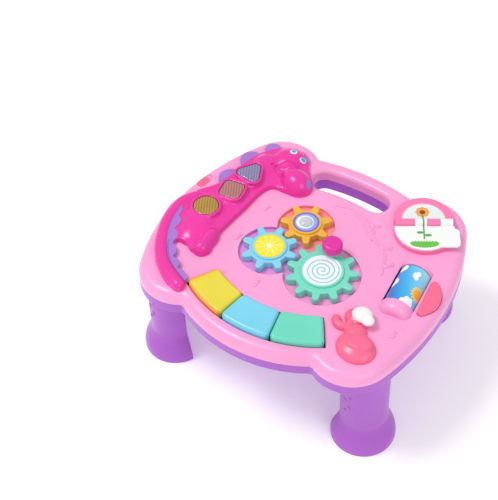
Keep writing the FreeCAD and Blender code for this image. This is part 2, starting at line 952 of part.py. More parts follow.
def front_hood():
    """Closed rounded hood over the front bearing, hollow below."""
    end = -hood_start - front_hood_length
    body = rod(hood_outer, end, -hood_start)
    far = [e for e in body.Edges if e.Curve.TypeId == "Part::GeomCircle"
           and e.BoundBox.Center.y < drum_y - hood_start - front_hood_length / 2]
    body = body.makeFillet(front_hood_round, far)
    body = body.common(drum_block(hood_outer + cut_over, end - cut_over, -hood_start + cut_over,
                                  ceiling_z, drum_z + hood_outer + cut_over))
    return body


def front_hood_hollow():
    end = -hood_start - front_hood_length
    body = rod(hood_inner, end + hood_wall, -hood_start + cut_over)
    far = [e for e in body.Edges if e.Curve.TypeId == "Part::GeomCircle"
           and e.BoundBox.Center.y < drum_y - hood_start - front_hood_length / 2]
    return body.makeFillet(front_hood_round - hood_wall, far)


def bearing(side):
    """Post on the base that carries one end of the drum's axle."""
    middle = side * bearing_middle
    low = middle - bearing_thickness / 2
    high = middle + bearing_thickness / 2
    body = drum_block(bearing_width / 2, low, high, floor_z - seat_gap, drum_z + bearing_above)
    return body.cut(rod(axle_radius + seat_gap, low - cut_over, high + cut_over))


axle_half = bearing_middle + bearing_thickness / 2 + window_end_gap
export("roller_drum", roller_drum())
export("roller_axle", rod(axle_radius, -axle_half, axle_half))


# Picture disc with its flap; the hinge runs through the middle of the plate

disc_centre = beside(disc_lobe_centre, disc_from_lobe)
disc_z = play_z + disc_height
hinge_z = disc_z + part_gap + flap_thickness / 2
flap_radius = disc_radius - flap_inset


def at_disc(shape):
    """Shape drawn about the middle of the hinge with the hinge along X, turned and moved to its place."""
    shape.rotate(V(0, 0, 0), V(0, 0, 1), hinge_turn)
    shape.translate(vec(disc_centre))
    return shape


def hinge_rod(radius, start, end):
    """Rod on the hinge line between two places along it, about the origin."""
    return Part.makeCylinder(radius, end - start, V(start, 0, hinge_z), V(1, 0, 0))


def peg_offsets():
    """Places of the plate's two pegs, before and behind the hinge."""
    return [(0.0, peg_spread * side) for side in (-1, 1)]


def picture_plate():
    """Rounded plate with a groove across it for the hinge, and two of the hinge's knuckles."""
    outline = stadium_wire(2 * disc_radius + hinge_band, 2 * disc_radius)
    outline.rotate(V(0, 0, 0), V(0, 0, 1), 90)
    body = prism(outline, play_z, disc_z)
    body = body.makeFillet(disc_round, edges_at(body, disc_z))
    groove = barrel_radius + part_gap
    body = body.cut(hinge_rod(groove, knuckle_starts[0] - part_gap, knuckle_end + part_gap))
    for start, end in ((knuckle_starts[0], knuckle_starts[1]), (knuckle_starts[2], knuckle_starts[3])):
        body = body.fuse(hinge_rod(barrel_radius, start, end))
        body = body.fuse(Part.makeBox(end - start, barrel_radius * 2, groove,
                                      V(start, -barrel_radius, hinge_z - groove)))
    body = body.cut(hinge_rod(flap_pin_radius + seat_gap, knuckle_starts[0] + pin_end_wall, knuckle_end))
    for peg in peg_offsets():
        body = body.fuse(cylinder(peg, peg_radius, play_z - peg_length, play_z + cut_over))
    return at_disc(body)


def flap_leaf(low, high):
    """Half circle in front of the hinge with a square finger tab at its right front corner."""
    leaf = cylinder((0, -hinge_band / 2), flap_radius, low, high)
    tab = block((flap_tab_side / 2, -(flap_tab_near + flap_tab_far) / 2), flap_tab_side,
                flap_tab_far - flap_tab_near, low, high)
    leaf = leaf.fuse(tab.makeFillet(flap_tab_round, upright_edges(tab)))
    edge = barrel_radius + part_gap
    size = 2 * (flap_radius + flap_tab_side)
    return leaf.common(Part.makeBox(size * 2, size, high - low, V(-size, -size - edge, low)))


def picture_flap():
    """Leaf in front of the hinge, with barrels on its hinge side and a pin bore."""
    low = hinge_z - flap_thickness / 2
    high = hinge_z + flap_thickness / 2
    reach = barrel_radius + part_gap + cut_over
    leaf = flap_leaf(low, high)
    for start, end in flap_barrels:
        leaf = leaf.fuse(Part.makeBox(end - start, reach, high - low, V(start, -reach, low)))
        leaf = leaf.fuse(hinge_rod(barrel_radius, start, end))
    return at_disc(leaf.cut(hinge_rod(flap_pin_radius + running_gap, knuckle_starts[0], knuckle_end + cut_over)))


flap_barrels = ((knuckle_starts[1] + part_gap, knuckle_starts[2] - part_gap),
                (knuckle_starts[3] + part_gap, knuckle_end))
export("picture_plate", picture_plate())
export("picture_flap", picture_flap())
export("flap_pin", at_disc(hinge_rod(flap_pin_radius, knuckle_starts[0] + pin_end_wall + part_gap, knuckle_end)))


# Legs

def d_wire(radius, flat, z):
    """D section with its round side to +X."""
    opening = 180 - math.degrees(math.acos(flat / radius))
    top = polar((0, 0), radius, opening)
    low = polar((0, 0), radius, -opening)
    wire = Part.Wire([arc((0, 0), radius, -opening, opening), line(top, low)])
    wire.translate(V(0, 0, z))
    return wire


def d_prism(radius, flat, low, high):
    return Part.Face(d_wire(radius, flat, low)).extrude(V(0, 0, high - low))


def foot_form(inset, low):
    """Bell-shaped foot from the floor up to the column."""
    sections = []
    for share, spread in foot_profile:
        radius = column_radius + (foot_radius - column_radius) * spread - inset
        flat = column_flat + (foot_flat - column_flat) * spread - inset
        sections.append(d_wire(radius, flat, foot_height * share))
    body = Part.makeLoft(sections, True, False)
    if low < 0:
        radius = foot_radius - inset
        body = body.fuse(d_prism(radius, foot_flat - inset, low, foot_height * foot_profile[1][0] / 2))
    return body


def leg():
    """Hollow leg: foot, column and the spigot that plugs into the base."""
    body = foot_form(0, 0)
    body = body.fuse(d_prism(column_radius, column_flat, foot_height, base_z))
    body = body.fuse(d_prism(column_radius - spigot_inset, column_flat - spigot_inset, base_z,
                             base_z + spigot_height))
    body = body.cut(foot_form(leg_wall, -cut_over))
    body = body.cut(d_prism(column_radius - leg_wall, column_flat - leg_wall, foot_height, base_z - leg_wall))
    inner = spigot_inset + leg_wall
    return body.cut(d_prism(column_radius - inner, column_flat - inner, base_z - leg_wall - cut_over,
                            base_z + spigot_height - leg_wall))


def socket(extra, low, high):
    """D form of a leg socket, let out by an extra."""
    inset = spigot_inset - socket_gap - extra
    return d_prism(column_radius - inset, column_flat - inset, low, high)


def at_leg(shape, place):
    """Copy of a shape drawn about a leg's own axis, turned outwards at one leg's place."""
    copy = shape.copy()
    copy.rotate(V(0, 0, 0), V(0, 0, 1), place[2])
    copy.translate(vec(place))
    return copy


front_leg_x, front_leg_y = beside(front_lobe_centre, front_leg_from_lobe)
back_leg_x, back_leg_y = beside(back_lobe_centre, back_leg_from_lobe)
leg_places = {
    "leg_front_right": (front_leg_x, front_leg_y, -45),
    "leg_front_left": (-front_leg_x, front_leg_y, -135),
    "leg_rear_right": (back_leg_x, back_leg_y, 45),
    "leg_rear_left": (-back_leg_x, back_leg_y, 135),
}
one_leg = leg()
for name, place in leg_places.items():
    export(name, at_leg(one_leg, place))


# Dinosaur cover

def closed_curve(points):
    curve = Part.BSplineCurve()
    curve.interpolate(points, PeriodicFlag=True)
    return curve


def dino_wire(inset=0.0):
    """Smooth outline of the dinosaur's body, neck, head and tail, drawn in by an inset."""
    curve = closed_curve([vec(on_dino(p)) for p in dino_points])
    if inset:
        count = len(dino_points) * inset_points_each
        span = curve.LastParameter - curve.FirstParameter
        drawn = []
        for i in range(count):
            at = curve.FirstParameter + span * i / count
            along = curve.tangent(at)[0]
            drawn.append(curve.value(at) + V(along.y, -along.x, 0) * inset)
        curve = closed_curve(drawn)
    return Part.Wire([curve.toShape()])


def dino_form(low):
    """Raised body with a rounded top edge."""
    body = prism(dino_wire(), low, dino_z)
    return body.makeFillet(dino_round, edges_at(body, dino_z))


def dino_hollow(low):
    """Space inside the raised body."""
    return prism(dino_wire(dino_wall), low, dino_z - dino_wall)


def head_form(inset):
    """Skull and snout bulges over the head."""
    skull = ellipsoid(on_dino(skull_place), play_z, skull_half[0] - inset, skull_half[1] - inset,
                      skull_half[2] - inset, skull_turn)
    snout = ellipsoid(on_dino(snout_place), play_z, snout_half[0] - inset, snout_half[1] - inset,
                      snout_half[2] - inset, snout_turn)
    return skull.fuse(snout)


def rounded_polygon(sides, radius, corner, turn):
    """Regular polygon wire about the origin with rounded corners."""
    points = [polar((0, 0), radius, turn + i * 360 / sides) for i in range(sides)]
    edges = []
    for i, point in enumerate(points):
        middle = turn + i * 360 / sides
        spread = 180 / sides
        edges.append(arc(point, corner, middle - spread, middle + spread))
        after = points[(i + 1) % sides]
        edges.append(line(polar(point, corner, middle + spread), polar(after, corner, middle + spread)))
    return Part.Wire(edges)


def lens_prism(kind, outset, low, high):
    """Prism of one lens shape, let out by an outset."""
    place, sides, radius, corner, turn = lenses[kind]
    if sides == 0:
        return cylinder(place, radius + outset, low, high)
    return placed_prism(rounded_polygon(sides, radius, corner + outset, turn), place, 0, low, high)


lenses = {
    "lens_round": (on_dino(round_lens_place), 0, round_lens_radius, 0.0, 0.0),
    "lens_square": (on_dino(square_lens_place), 4, square_lens_radius, square_lens_corner, square_lens_turn),
    "lens_triangle": (on_dino(triangle_lens_place), 3, triangle_lens_radius, triangle_lens_corner,
                      triangle_lens_turn),
}


def lens(kind):
    """Domed cap in its hole, held by a flange under the cover."""
    under = dino_z - dino_wall
    body = lens_prism(kind, -seat_gap, under, lens_z)
    body = body.makeFillet(lens_edge_round, edges_at(body, lens_z))
    body = body.fuse(lens_prism(kind, lens_seat, under - lens_wall, under))
    return body.cut(lens_prism(kind, -lens_wall, under - lens_wall - cut_over, lens_z - lens_wall))


def dinosaur_cover():
    low = play_z - edge_round
    body = dino_form(low).fuse(head_form(0))
    body = body.cut(prism(case_outline(-edge_round), low - snout_half[2], split_z + cut_over))
    hollow = dino_hollow(low).fuse(head_form(dino_wall))
    body = body.cut(hollow).cut(outer_case).cut(prism(case_outline(-edge_round), low - snout_half[2], split_z))
    body = body.cut(prism(slot_outline(0), low - cut_over, play_z + snout_half[2] + cut_over))
    for kind in lenses:
        body = body.cut(lens_prism(kind, 0, dino_z - dino_wall - cut_over, lens_z))
    for eye in eye_places:
        top = play_z + eye[2]
        body = body.cut(cylinder(on_dino(eye), eye_radius + seat_gap, top - eye_length, top + cut_over))
    return body


def spikes():
    """Flat half-moon scallops along the neck and the tail, standing on the play surface."""
    body = []
    footprint = prism(dino_wire(), play_z - cut_over, play_z + spike_height + cut_over)
    for x, y, radius in spike_places:
        plate = cylinder(on_dino((x, y)), radius, play_z, play_z + spike_height)
        plate = plate.cut(footprint).cut(head_form(0))
        body += [solid for solid in plate.Solids if solid.Volume > radius]
    return Part.makeCompound(body)


def lens_lamp_places():
    return [lenses[kind][0] for kind in lenses]


export("dinosaur_cover", dinosaur_cover())
export("dinosaur_spikes", spikes())
for kind in lenses:
    export(kind, lens(kind))


def dinosaur_eyes():
    """Two eye buttons pressed into the head."""
    found = []
    for place in eye_places:
        top = play_z + place[2]
        eye = cylinder(on_dino(place), eye_radius, top - eye_length, top)
        found.append(eye.makeFillet(eye_rise, edges_at(eye, top)))
    return Part.makeCompound(found)


export("dinosaur_eyes", dinosaur_eyes())


def light_board():
    """Narrow board that follows the three lenses, hung under the play surface."""
    places = lens_lamp_places()
    pieces = []
    for a, b in zip(places, places[1:]):
        run = math.hypot(b[0] - a[0], b[1] - a[1])
        turn = math.degrees(math.atan2(b[1] - a[1], b[0] - a[0]))
        middle = ((a[0] + b[0]) / 2, (a[1] + b[1]) / 2)
        pieces.append(block(middle, run, light_board_width, light_board_z - board_thickness, light_board_z, turn))
    for place in places:
        pieces.append(cylinder(place, light_board_width / 2, light_board_z - board_thickness, light_board_z))
    return joined(pieces)


def lamps():
    """Light-emitting diodes on the board, one under each lens."""
    found = []
    for place in lens_lamp_places():
        lamp = cylinder(place, lamp_radius, light_board_z, light_board_z + lamp_height)
        found.append(lamp.makeFillet(lamp_round, edges_at(lamp, light_board_z + lamp_height)))
    return Part.makeCompound(found)


export("light_board", light_board())
export("lamps", lamps())


# Elephant figure at the right front corner

pin_centre = on_corner(ear_pin_place)


def elephant_trunk():
    """Curled tube with a round tip, cut flat where it lies on the play surface."""
    middle = play_z + trunk_radius / 2
    half = math.sqrt(trunk_radius ** 2 - (trunk_radius / 2) ** 2)
    left = V(trunk_curl - half, 0, play_z)
    right = V(trunk_curl + half, 0, play_z)
    crown = Part.Arc(left, V(trunk_curl, 0, middle + trunk_radius), right).toShape()
    section = Part.Face(Part.Wire([crown, Part.LineSegment(right, left).toShape()]))
    tube = section.revolve(V(0, 0, 0), V(0, 0, 1), trunk_sweep)
    tip = Part.makeSphere(trunk_radius, V(trunk_curl, 0, middle), V(0, 0, 1), trunk_tip_latitude, 90, 360)
    tube = tube.fuse(tip)
    tube.rotate(V(0, 0, 0), V(0, 0, 1), trunk_start)
    tube.translate(vec(on_corner(trunk_place)))
    return tube


def elephant_body():
    """Rounded body, haunch pad, head and curled trunk, flat below on the play surface."""
    body = ellipsoid(on_corner(elephant_place), play_z, *elephant_half, elephant_turn, 0)
    head = ellipsoid(on_corner(elephant_head), play_z, *elephant_head_half, elephant_turn, 0)
    neck = ellipsoid(on_corner(neck_place), play_z, *neck_half, 0, 0)
    haunch = ellipsoid(on_corner(haunch_place), play_z, *haunch_half, haunch_turn, 0)
    body = body.fuse(neck).fuse(head).fuse(haunch).fuse(elephant_trunk())
    for place in elephant_pegs:
        body = body.fuse(cylinder(on_corner(place), peg_radius, play_z - peg_length, play_z + cut_over))
    return body.cut(cylinder(pin_centre, ear_pin_radius, play_z + ear_pin_root, ear_z + ear_thickness))


def elephant_ear():
    """Thick rounded ear that turns on its pin above the head."""
    body = cylinder(on_corner(ear_place), ear_radius, ear_z, ear_top_z)
    body = body.fuse(cylinder(on_corner(ear_lobe_place), ear_lobe_radius, ear_z, ear_top_z))
    body = body.fuse(cylinder(pin_centre, ear_boss_radius, ear_z, ear_top_z)).removeSplitter()
    body = body.makeFillet(ear_edge_round, edges_at(body, ear_top_z))
    return body.cut(cylinder(pin_centre, ear_pin_radius + running_gap, ear_z - cut_over, ear_top_z + cut_over))


def ear_pin():
    """Rivet through the ear into the head."""
    shank = cylinder(pin_centre, ear_pin_radius, play_z + ear_pin_root, ear_top_z + part_gap)
    head = cylinder(pin_centre, head_radius, ear_top_z + part_gap, ear_top_z + part_gap + ear_pin_head)
    return shank.fuse(head.makeFillet(ear_pin_head / 2, edges_at(head, ear_top_z + part_gap + ear_pin_head)))


export("elephant_body", elephant_body())
export("elephant_ear", elephant_ear())
export("ear_pin", ear_pin())


# Power slider

switch_place = (switch_inset - half_width, switch_y)
recess_z = play_z - switch_recess_depth


def slider():
    """Thumb slider with a grip rib, and the stem that reaches down to the switch."""
    low = recess_z + part_gap
    high = recess_z + part_gap + slider_rise
    body = prism(stadium_wire(slider_length, slider_width), low, high)
    body = body.fuse(block((0, 0), slider_rib_width, slider_rib_length, high, high + slider_rib_rise))
    body = body.fuse(block((0, 0), slider_stem_length, slider_stem_width, recess_z - switch_floor - slider_stem_drop, low))
    body.translate(V(-slider_travel / 2, 0, 0))
    return body


def on_rim(shape):
    """Shape drawn about the origin along X, turned along the left rim at the switch."""
    shape.rotate(V(0, 0, 0), V(0, 0, 1), switch_turn + 90)
    shape.translate(vec(switch_place))
    return shape


def power_switch():
    """Switch body under the recess, with a channel for the slider's stem."""
    high = recess_z - switch_floor - part_gap
    body = block((0, 0), switch_body_length, switch_body_width, high - switch_body_height, high)
    channel = block((0, 0), slider_stem_length + slider_travel + 2 * part_gap, slider_stem_width + 2 * part_gap,
                    high - slider_stem_drop, high + cut_over)
    return on_rim(body.cut(channel))


export("power_slider", on_rim(slider()))
export("power_switch", power_switch())


# Batteries, contacts, door

box_centre = (0.0, half_depth - battery_setback)
cell_z = base_z + door_thickness + cell_clear + cell_radius
room_length = cell_length + 2 * contact_space
room_width = (cell_count - 1) * cell_pitch + 2 * cell_radius + 2 * cell_clear
roof_z = cell_z + cell_radius + cell_clear
door_length = room_length + 2 * door_ledge
door_width = room_width + 2 * door_ledge
box_length = door_length + 2 * box_wall
box_width = door_width + 2 * box_wall
door_screw_place = (box_centre[0], box_centre[1] - door_width / 2 - door_tab / 2)


def cell_rows():
    first = box_centre[1] - (cell_count - 1) * cell_pitch / 2
    return [first + i * cell_pitch for i in range(cell_count)]


def batteries():
    """Round cells side by side, each with its raised end, turned about in turn."""
    cells = []
    for i, y in enumerate(cell_rows()):
        way = 1 if i % 2 else -1
        start = V(box_centre[0] - way * cell_length / 2, y, cell_z)
        cell = Part.makeCylinder(cell_radius, cell_length - cell_nub, start, V(way, 0, 0))
        nub = Part.makeCylinder(cell_nub_radius, cell_length, start, V(way, 0, 0))
        cells.append(cell.fuse(nub))
    return Part.makeCompound(cells)


def contacts():
    """Spring-steel contact plates at both ends of the cells."""
    plates = []
    for side in (-1, 1):
        for y in cell_rows():
            face = box_centre[0] + side * (cell_length / 2 + contact_thickness / 2)
            plate = block((face, y), contact_thickness, contact_width, cell_z - contact_drop, roof_z)
            leg_length = contact_space - contact_thickness
            foot = block((face + side * (leg_length + contact_thickness) / 2, y), leg_length, cell_radius,
                         roof_z - contact_thickness, roof_z)
            plates.append(plate.fuse(foot))
    return Part.makeCompound(plates)


def battery_door():
    """Door flush with the base, with a screw tab at its front edge."""
    body = block(box_centre, door_length - 2 * door_gap, door_width - 2 * door_gap, base_z,
                 base_z + door_thickness)
    tab = block(door_screw_place, door_tab_width, door_tab + 2 * door_gap, base_z, base_z + door_thickness)
    body = body.fuse(tab).removeSplitter()
    body = body.cut(cylinder(door_screw_place, screw_radius + seat_gap, base_z - cut_over,
                             base_z + door_thickness + cut_over))
    return body.cut(cylinder(door_screw_place, head_radius + seat_gap, base_z - cut_over,
                             base_z + door_thickness / 2))


export("batteries", batteries())
export("battery_contacts", contacts())
export("battery_door", battery_door())
export("door_screw", screw_up(door_screw_place, base_z + door_thickness / 2, door_screw_length, head_radius,
                              door_thickness / 2))


# Speaker, main board and case screws

speaker_place = (speaker_x, speaker_y)
speaker_z = floor_z + grille_rib
speaker_screw_places = [polar(speaker_place, speaker_flange + head_radius / 2 + part_gap, a) for a in speaker_screw_turns]
board_place = (main_board_x, half_depth - main_board_setback)
board_z = floor_z + main_board_lift


def speaker():
    """Loudspeaker facing down: flange, basket and magnet."""
    top = speaker_z + speaker_flange_height
    body = cylinder(speaker_place, speaker_flange, speaker_z, top)
    neck = speaker_z + speaker_height - magnet_height
    body = body.fuse(Part.makeCone(speaker_radius, magnet_radius, neck - top, vec(speaker_place, top)))
    return body.fuse(cylinder(speaker_place, magnet_radius, neck, speaker_z + speaker_height))


def speaker_screws():
    top = speaker_z + speaker_flange_height
    return Part.makeCompound([screw_down(p, top, speaker_screw_length, head_radius, head_height)
                              for p in speaker_screw_places])


def board_corners(centre, length, width, inset):
    return [(centre[0] + i * (length / 2 - inset), centre[1] + j * (width / 2 - inset))
            for i in (-1, 1) for j in (-1, 1)]


board_post_places = board_corners(board_place, main_board_length, main_board_width, board_post_radius)


def main_board():
    return block(board_place, main_board_length, main_board_width, board_z, board_z + board_thickness)


def chip_cover():
    """Moulded blob over the sound chip."""
    top = board_z + board_thickness
    body = cylinder(board_place, chip_radius, top, top + chip_height)
    return body.makeFillet(chip_height / 2, edges_at(body, top + chip_height))


def board_screws():
    return Part.makeCompound([screw_down(p, board_z + board_thickness, board_screw_length, board_head_radius,
                                         head_height) for p in board_post_places])


export("speaker", speaker())
export("speaker_screws", speaker_screws())
export("main_board", main_board().cut(joined([cylinder(p, screw_radius + seat_gap, board_z - cut_over,
                                                       board_z + board_thickness + cut_over)
                                              for p in board_post_places])))
export("board_screws", board_screws())
export("chip_cover", chip_cover())
export("case_screws", Part.makeCompound([screw_up(p, base_z + counterbore_depth, case_screw_length, head_radius,
                                                  head_height) for p in case_screw_places]))


# Top shell

def gear_wells(extra, low, high):
    """Round wells under the gears as one solid, let out by an extra."""
    return joined([cylinder(c, r + well_gap + extra, low, high) for c, r in gear_places])


def shell_cavity():
    """Inside of the top shell, kept clear of the wells, the switch recess and the screw pillars."""
    room = inner_case.cut(gear_wells(wall, well_z - wall, play_z))
    room = room.cut(joined([cylinder(c, post_radius, well_z - wall - screw_boss_drop, play_z)
                            for c, r in gear_places]))
    pillars = [cylinder(p, pillar_radius, split_z, play_z) for p in case_screw_places]
    pillars += [cylinder(on_dino(p), board_post_radius, light_board_z, play_z) for p in light_post_places]
    room = room.cut(Part.makeCompound(pillars))
    tray = prism(stadium_wire(switch_recess_length + 2 * switch_floor, switch_recess_width + 2 * switch_floor),
                 recess_z - switch_floor, play_z)
    return room.cut(on_rim(tray))


def peg_places():
    """Holes for the pegs of the picture plate and the elephant."""
    plate = [beside(disc_centre, polar((0, 0), place[1], hinge_turn + 90)) for place in peg_offsets()]
    return plate + [on_corner(place) for place in elephant_pegs]


def top_shell():
    body = outer_case.fuse(front_hood()).fuse(hood(hood_start, hood_start + back_hood_length, hood_outer))
    body = body.cut(shell_cavity())
    body = body.cut(gear_wells(0, well_z, play_z + cut_over))
    posts = [cylinder(c, post_radius, well_z - wall, post_z) for c, r in gear_places]
    body = body.multiFuse(posts)
    pilots = [cylinder(c, screw_radius, post_z - gear_screw_length, post_z + cut_over) for c, r in gear_places]
    pilots += [cylinder(p, screw_radius, split_z - cut_over, base_z + counterbore_depth + case_screw_length)
               for p in case_screw_places]
    body = body.cut(Part.makeCompound(pilots))
    body = body.cut(key_opening())
    body = body.cut(half_moon(button_gap, ceiling_z - edge_round, play_z + button_rise))
    half = math.sqrt(drum_radius ** 2 - (ceiling_z - drum_z) ** 2) + window_side_gap
    body = body.cut(drum_block(half, -hood_start, hood_start, ceiling_z - cut_over, drum_z + drum_radius * 2))
    body = body.cut(front_hood_hollow().common(drum_block(half, -hood_start - front_hood_length, -hood_start,
                                                          ceiling_z - cut_over, drum_z + drum_radius)))
    recess = prism(stadium_wire(switch_recess_length, switch_recess_width), recess_z, play_z + cut_over)
    gate = block((0, 0), slider_stem_length + slider_travel + 2 * part_gap, slider_stem_width + 2 * part_gap,
                 recess_z - switch_floor - cut_over, recess_z + cut_over)
    body = body.cut(on_rim(recess)).cut(on_rim(gate))
    holes = [cylinder(p, lamp_hole_radius, ceiling_z - cut_over, play_z + cut_over) for p in lens_lamp_places()]
    holes += [cylinder(p, peg_radius + seat_gap, ceiling_z - cut_over, play_z + cut_over)
              for p in peg_places()]
    return body.cut(Part.makeCompound(holes))


export("top_shell", top_shell())


# Base tray

key_post_places = [polar(key_centre, r, a) for r in (key_inner_radius + key_post_inset,
                                                     key_outer_radius - key_post_inset)
                   for a in (key_start + key_post_swing, key_start + key_arc - key_post_swing)]
button_post_places = [polar(button_board_centre, button_board_length / 2 - board_post_radius, button_turn + a)
                      for a in (90, 270)]


def base_form(inset, low, high):
    body = prism(case_outline(inset), low, high)
    return body.cut(prism(slot_outline(inset), low - cut_over, high + cut_over))


def lip():
    """Raised lip that centres the top shell."""
    body = base_form(wall + lip_gap, split_z - lip_height, split_z + lip_height)
    body = body.cut(base_form(wall + lip_gap + lip_wall, split_z - lip_height - cut_over,
                              split_z + lip_height + cut_over))
    foot = base_form(wall - seat_gap, split_z - lip_height, split_z)
    return body.fuse(foot.cut(base_form(wall + lip_gap + lip_wall, split_z - lip_height - cut_over,
                                        split_z + cut_over)))


def battery_box():
    """Closed box for the cells, standing up from the base floor, with a pad over the door's tab."""
    pad = block(door_screw_place, door_tab_width + 2 * (door_gap + box_wall), door_tab + 2 * box_wall, base_z,
                base_z + door_thickness + box_wall)
    return block(box_centre, box_length, box_width, base_z, roof_z + box_wall).fuse(pad)


def battery_room():
    body = block(box_centre, room_length, room_width, base_z - cut_over, roof_z)
    recess = block(box_centre, door_length, door_width, base_z - cut_over, base_z + door_thickness)
    tab = block(door_screw_place, door_tab_width + 2 * door_gap, door_tab + 2 * door_gap, base_z - cut_over,
                base_z + door_thickness)
    return body.fuse(recess).fuse(tab)


def grille():
    """Rings of sound holes under the speaker."""
    holes = [cylinder(speaker_place, grille_hole_radius, base_z - cut_over, floor_z + cut_over)]
    for number in range(1, grille_rings + 1):
        count = grille_ring_holes * number
        for i in range(count):
            place = polar(speaker_place, number * grille_pitch, i * 360 / count)
            holes.append(cylinder(place, grille_hole_radius, base_z - cut_over, floor_z + cut_over))
    return Part.makeCompound(holes)


def base_posts():
    """Pillars, board posts, bearings, speaker seat and leg sockets that stand on the base floor."""
    low = floor_z - seat_gap
    posts = [cylinder(p, pillar_radius, low, split_z) for p in case_screw_places]
    posts += [cylinder(p, board_post_radius, low, board_z) for p in board_post_places]
    posts += [cylinder(p, board_post_radius, low, key_board_z - board_thickness) for p in key_post_places]
    posts += [cylinder(p, board_post_radius, low, key_board_z - board_thickness) for p in button_post_places]
    posts += [ring(speaker_place, speaker_flange, speaker_flange - box_wall, low, speaker_z)]
    posts += [cylinder(p, board_post_radius, low, speaker_z + speaker_flange_height)
              .cut(cylinder(speaker_place, speaker_flange, low, speaker_z + speaker_flange_height))
              for p in speaker_screw_places]
    posts += [cylinder(door_screw_place, pillar_radius, low, base_z + door_thickness + door_screw_length)]
    posts += [bearing(-1), bearing(1)]
    posts += [at_leg(socket(socket_wall, low, base_z + spigot_height + part_gap + socket_wall), place)
              for place in leg_places.values()]
    return posts


def base_tray():
    body = base_form(0, base_z, split_z)
    body = body.makeFillet(base_edge_round, [e for e in edges_at(body, base_z) if outside_slot(e)])
    body = body.cut(base_form(wall, floor_z, split_z + cut_over))
    body = body.multiFuse([lip(), battery_box()] + base_posts())
    body = body.cut(battery_room())
    body = body.cut(grille())
    cuts = [at_leg(socket(0, base_z - cut_over, base_z + spigot_height + part_gap), place)
            for place in leg_places.values()]
    cuts += [cylinder(p, counterbore_radius, base_z - cut_over, base_z + counterbore_depth)
             for p in case_screw_places]
    cuts += [cylinder(p, screw_radius + seat_gap, base_z - cut_over, split_z + cut_over)
             for p in case_screw_places]
    cuts += [cylinder(door_screw_place, screw_radius, base_z, base_z + door_thickness + door_screw_length)]
    cuts += [cylinder(p, screw_radius, board_z - board_screw_length, board_z + cut_over)
             for p in board_post_places]
    cuts += [cylinder(p, screw_radius, speaker_z + speaker_flange_height - speaker_screw_length,
                      speaker_z + speaker_flange_height + cut_over) for p in speaker_screw_places]
    return body.cut(Part.makeCompound(cuts))


def outside_slot(edge):
    middle = edge.BoundBox.Center
    reach = math.hypot(middle.x - handle_centre[0], middle.y - handle_centre[1])
    return not (reach < handle_radius - handle_bar / 2 and abs(middle.x) < slot_half_length + cut_over
                and middle.y > 0)


export("base_tray", base_tray())
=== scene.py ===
# %% [markdown]
# # A musical activity table, dressed piece by piece
# The table is a toy for a child of one or two: a pink moulded top on a purple tray, four plug-in legs,
# gears, piano keys, a dinosaur with light lenses, a picture disc, a roller drum and an elephant.
# The solid parts come first, as a fixed frame in metres. Everything below is fitted to that frame.

# %% Load the frame
import bpy
import math
from mathutils import Matrix, Vector
from mathutils.bvhtree import BVHTree


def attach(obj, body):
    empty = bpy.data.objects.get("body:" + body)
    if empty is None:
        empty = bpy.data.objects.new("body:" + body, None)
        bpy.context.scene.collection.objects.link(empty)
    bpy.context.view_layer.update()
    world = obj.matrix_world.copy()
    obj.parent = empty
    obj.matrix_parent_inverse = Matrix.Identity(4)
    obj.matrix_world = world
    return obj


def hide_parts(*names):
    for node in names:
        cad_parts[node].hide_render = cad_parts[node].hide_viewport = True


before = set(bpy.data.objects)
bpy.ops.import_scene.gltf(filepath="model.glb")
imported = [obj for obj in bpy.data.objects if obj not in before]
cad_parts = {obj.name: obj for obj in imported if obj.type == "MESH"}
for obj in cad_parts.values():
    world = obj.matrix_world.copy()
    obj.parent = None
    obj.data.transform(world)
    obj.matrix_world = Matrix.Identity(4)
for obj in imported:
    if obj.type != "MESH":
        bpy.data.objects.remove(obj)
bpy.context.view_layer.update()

# %% [markdown]
# ## Levels and places
# The play surface is 150 mm over the floor. The gears, keys and other pieces have their centres at the
# same places as in the solids, so the values are written here once and used for prints and trim.

# %% Levels and places
PLAY = 0.150
GEAR_HUB = PLAY + 0.0075
BIG = (0.0348874, -0.0215130)
BLUE = (-0.0335, -0.0202)
YELLOW = (-0.0160978, 0.0309199)
DISC = (0.0995017, 0.0972)
KEYS = (0.0, 0.032)
DRUM = (0.1248, 0.0073, 0.143)
DRUM_TURN = math.radians(4.8)
HINGE_TURN = math.radians(30)
print("gear centres", BIG, BLUE, YELLOW)


# %% [markdown]
# ## Small helpers
# New pieces start as a primitive at its size and place. Everything is deselected first, because an
# operator acts on all that is selected.

# %% Selecting and finishing pieces
SMOOTH_UNDER = math.radians(35)


def fresh():
    """Leave edit mode and select nothing."""
    if bpy.context.object and bpy.context.object.mode != "OBJECT":
        bpy.ops.object.mode_set(mode="OBJECT")
    bpy.ops.object.select_all(action="DESELECT")


def pick(*pieces):
    """Select only these pieces; the first one is the active one."""
    fresh()
    for piece in pieces:
        piece.select_set(True)
    bpy.context.view_layer.objects.active = pieces[0]


def named(name):
    """Name the piece that was just added, and its mesh."""
    piece = bpy.context.object
    piece.name = name
    piece.data.name = name
    return piece


def settle(piece, body, finish):
    """Put the piece's place into its mesh, smooth it, paint it, and let it ride on a body."""
    pick(piece)
    bpy.ops.object.transform_apply(location=True, rotation=True, scale=True)
    bpy.ops.object.shade_smooth_by_angle(angle=SMOOTH_UNDER)
    piece.data.materials.clear()
    piece.data.materials.append(finish)
    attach(piece, body)


def add_modifier(piece, kind, **settings):
    """Add a modifier and apply it at once."""
    modifier = piece.modifiers.new(kind.lower(), kind)
    for key, value in settings.items():
        setattr(modifier, key, value)
    pick(piece)
    bpy.ops.object.modifier_apply(modifier=modifier.name)


def join_pieces(name, parts):
    """Make one piece of several."""
    pick(*parts)
    bpy.ops.object.join()
    return named(name)


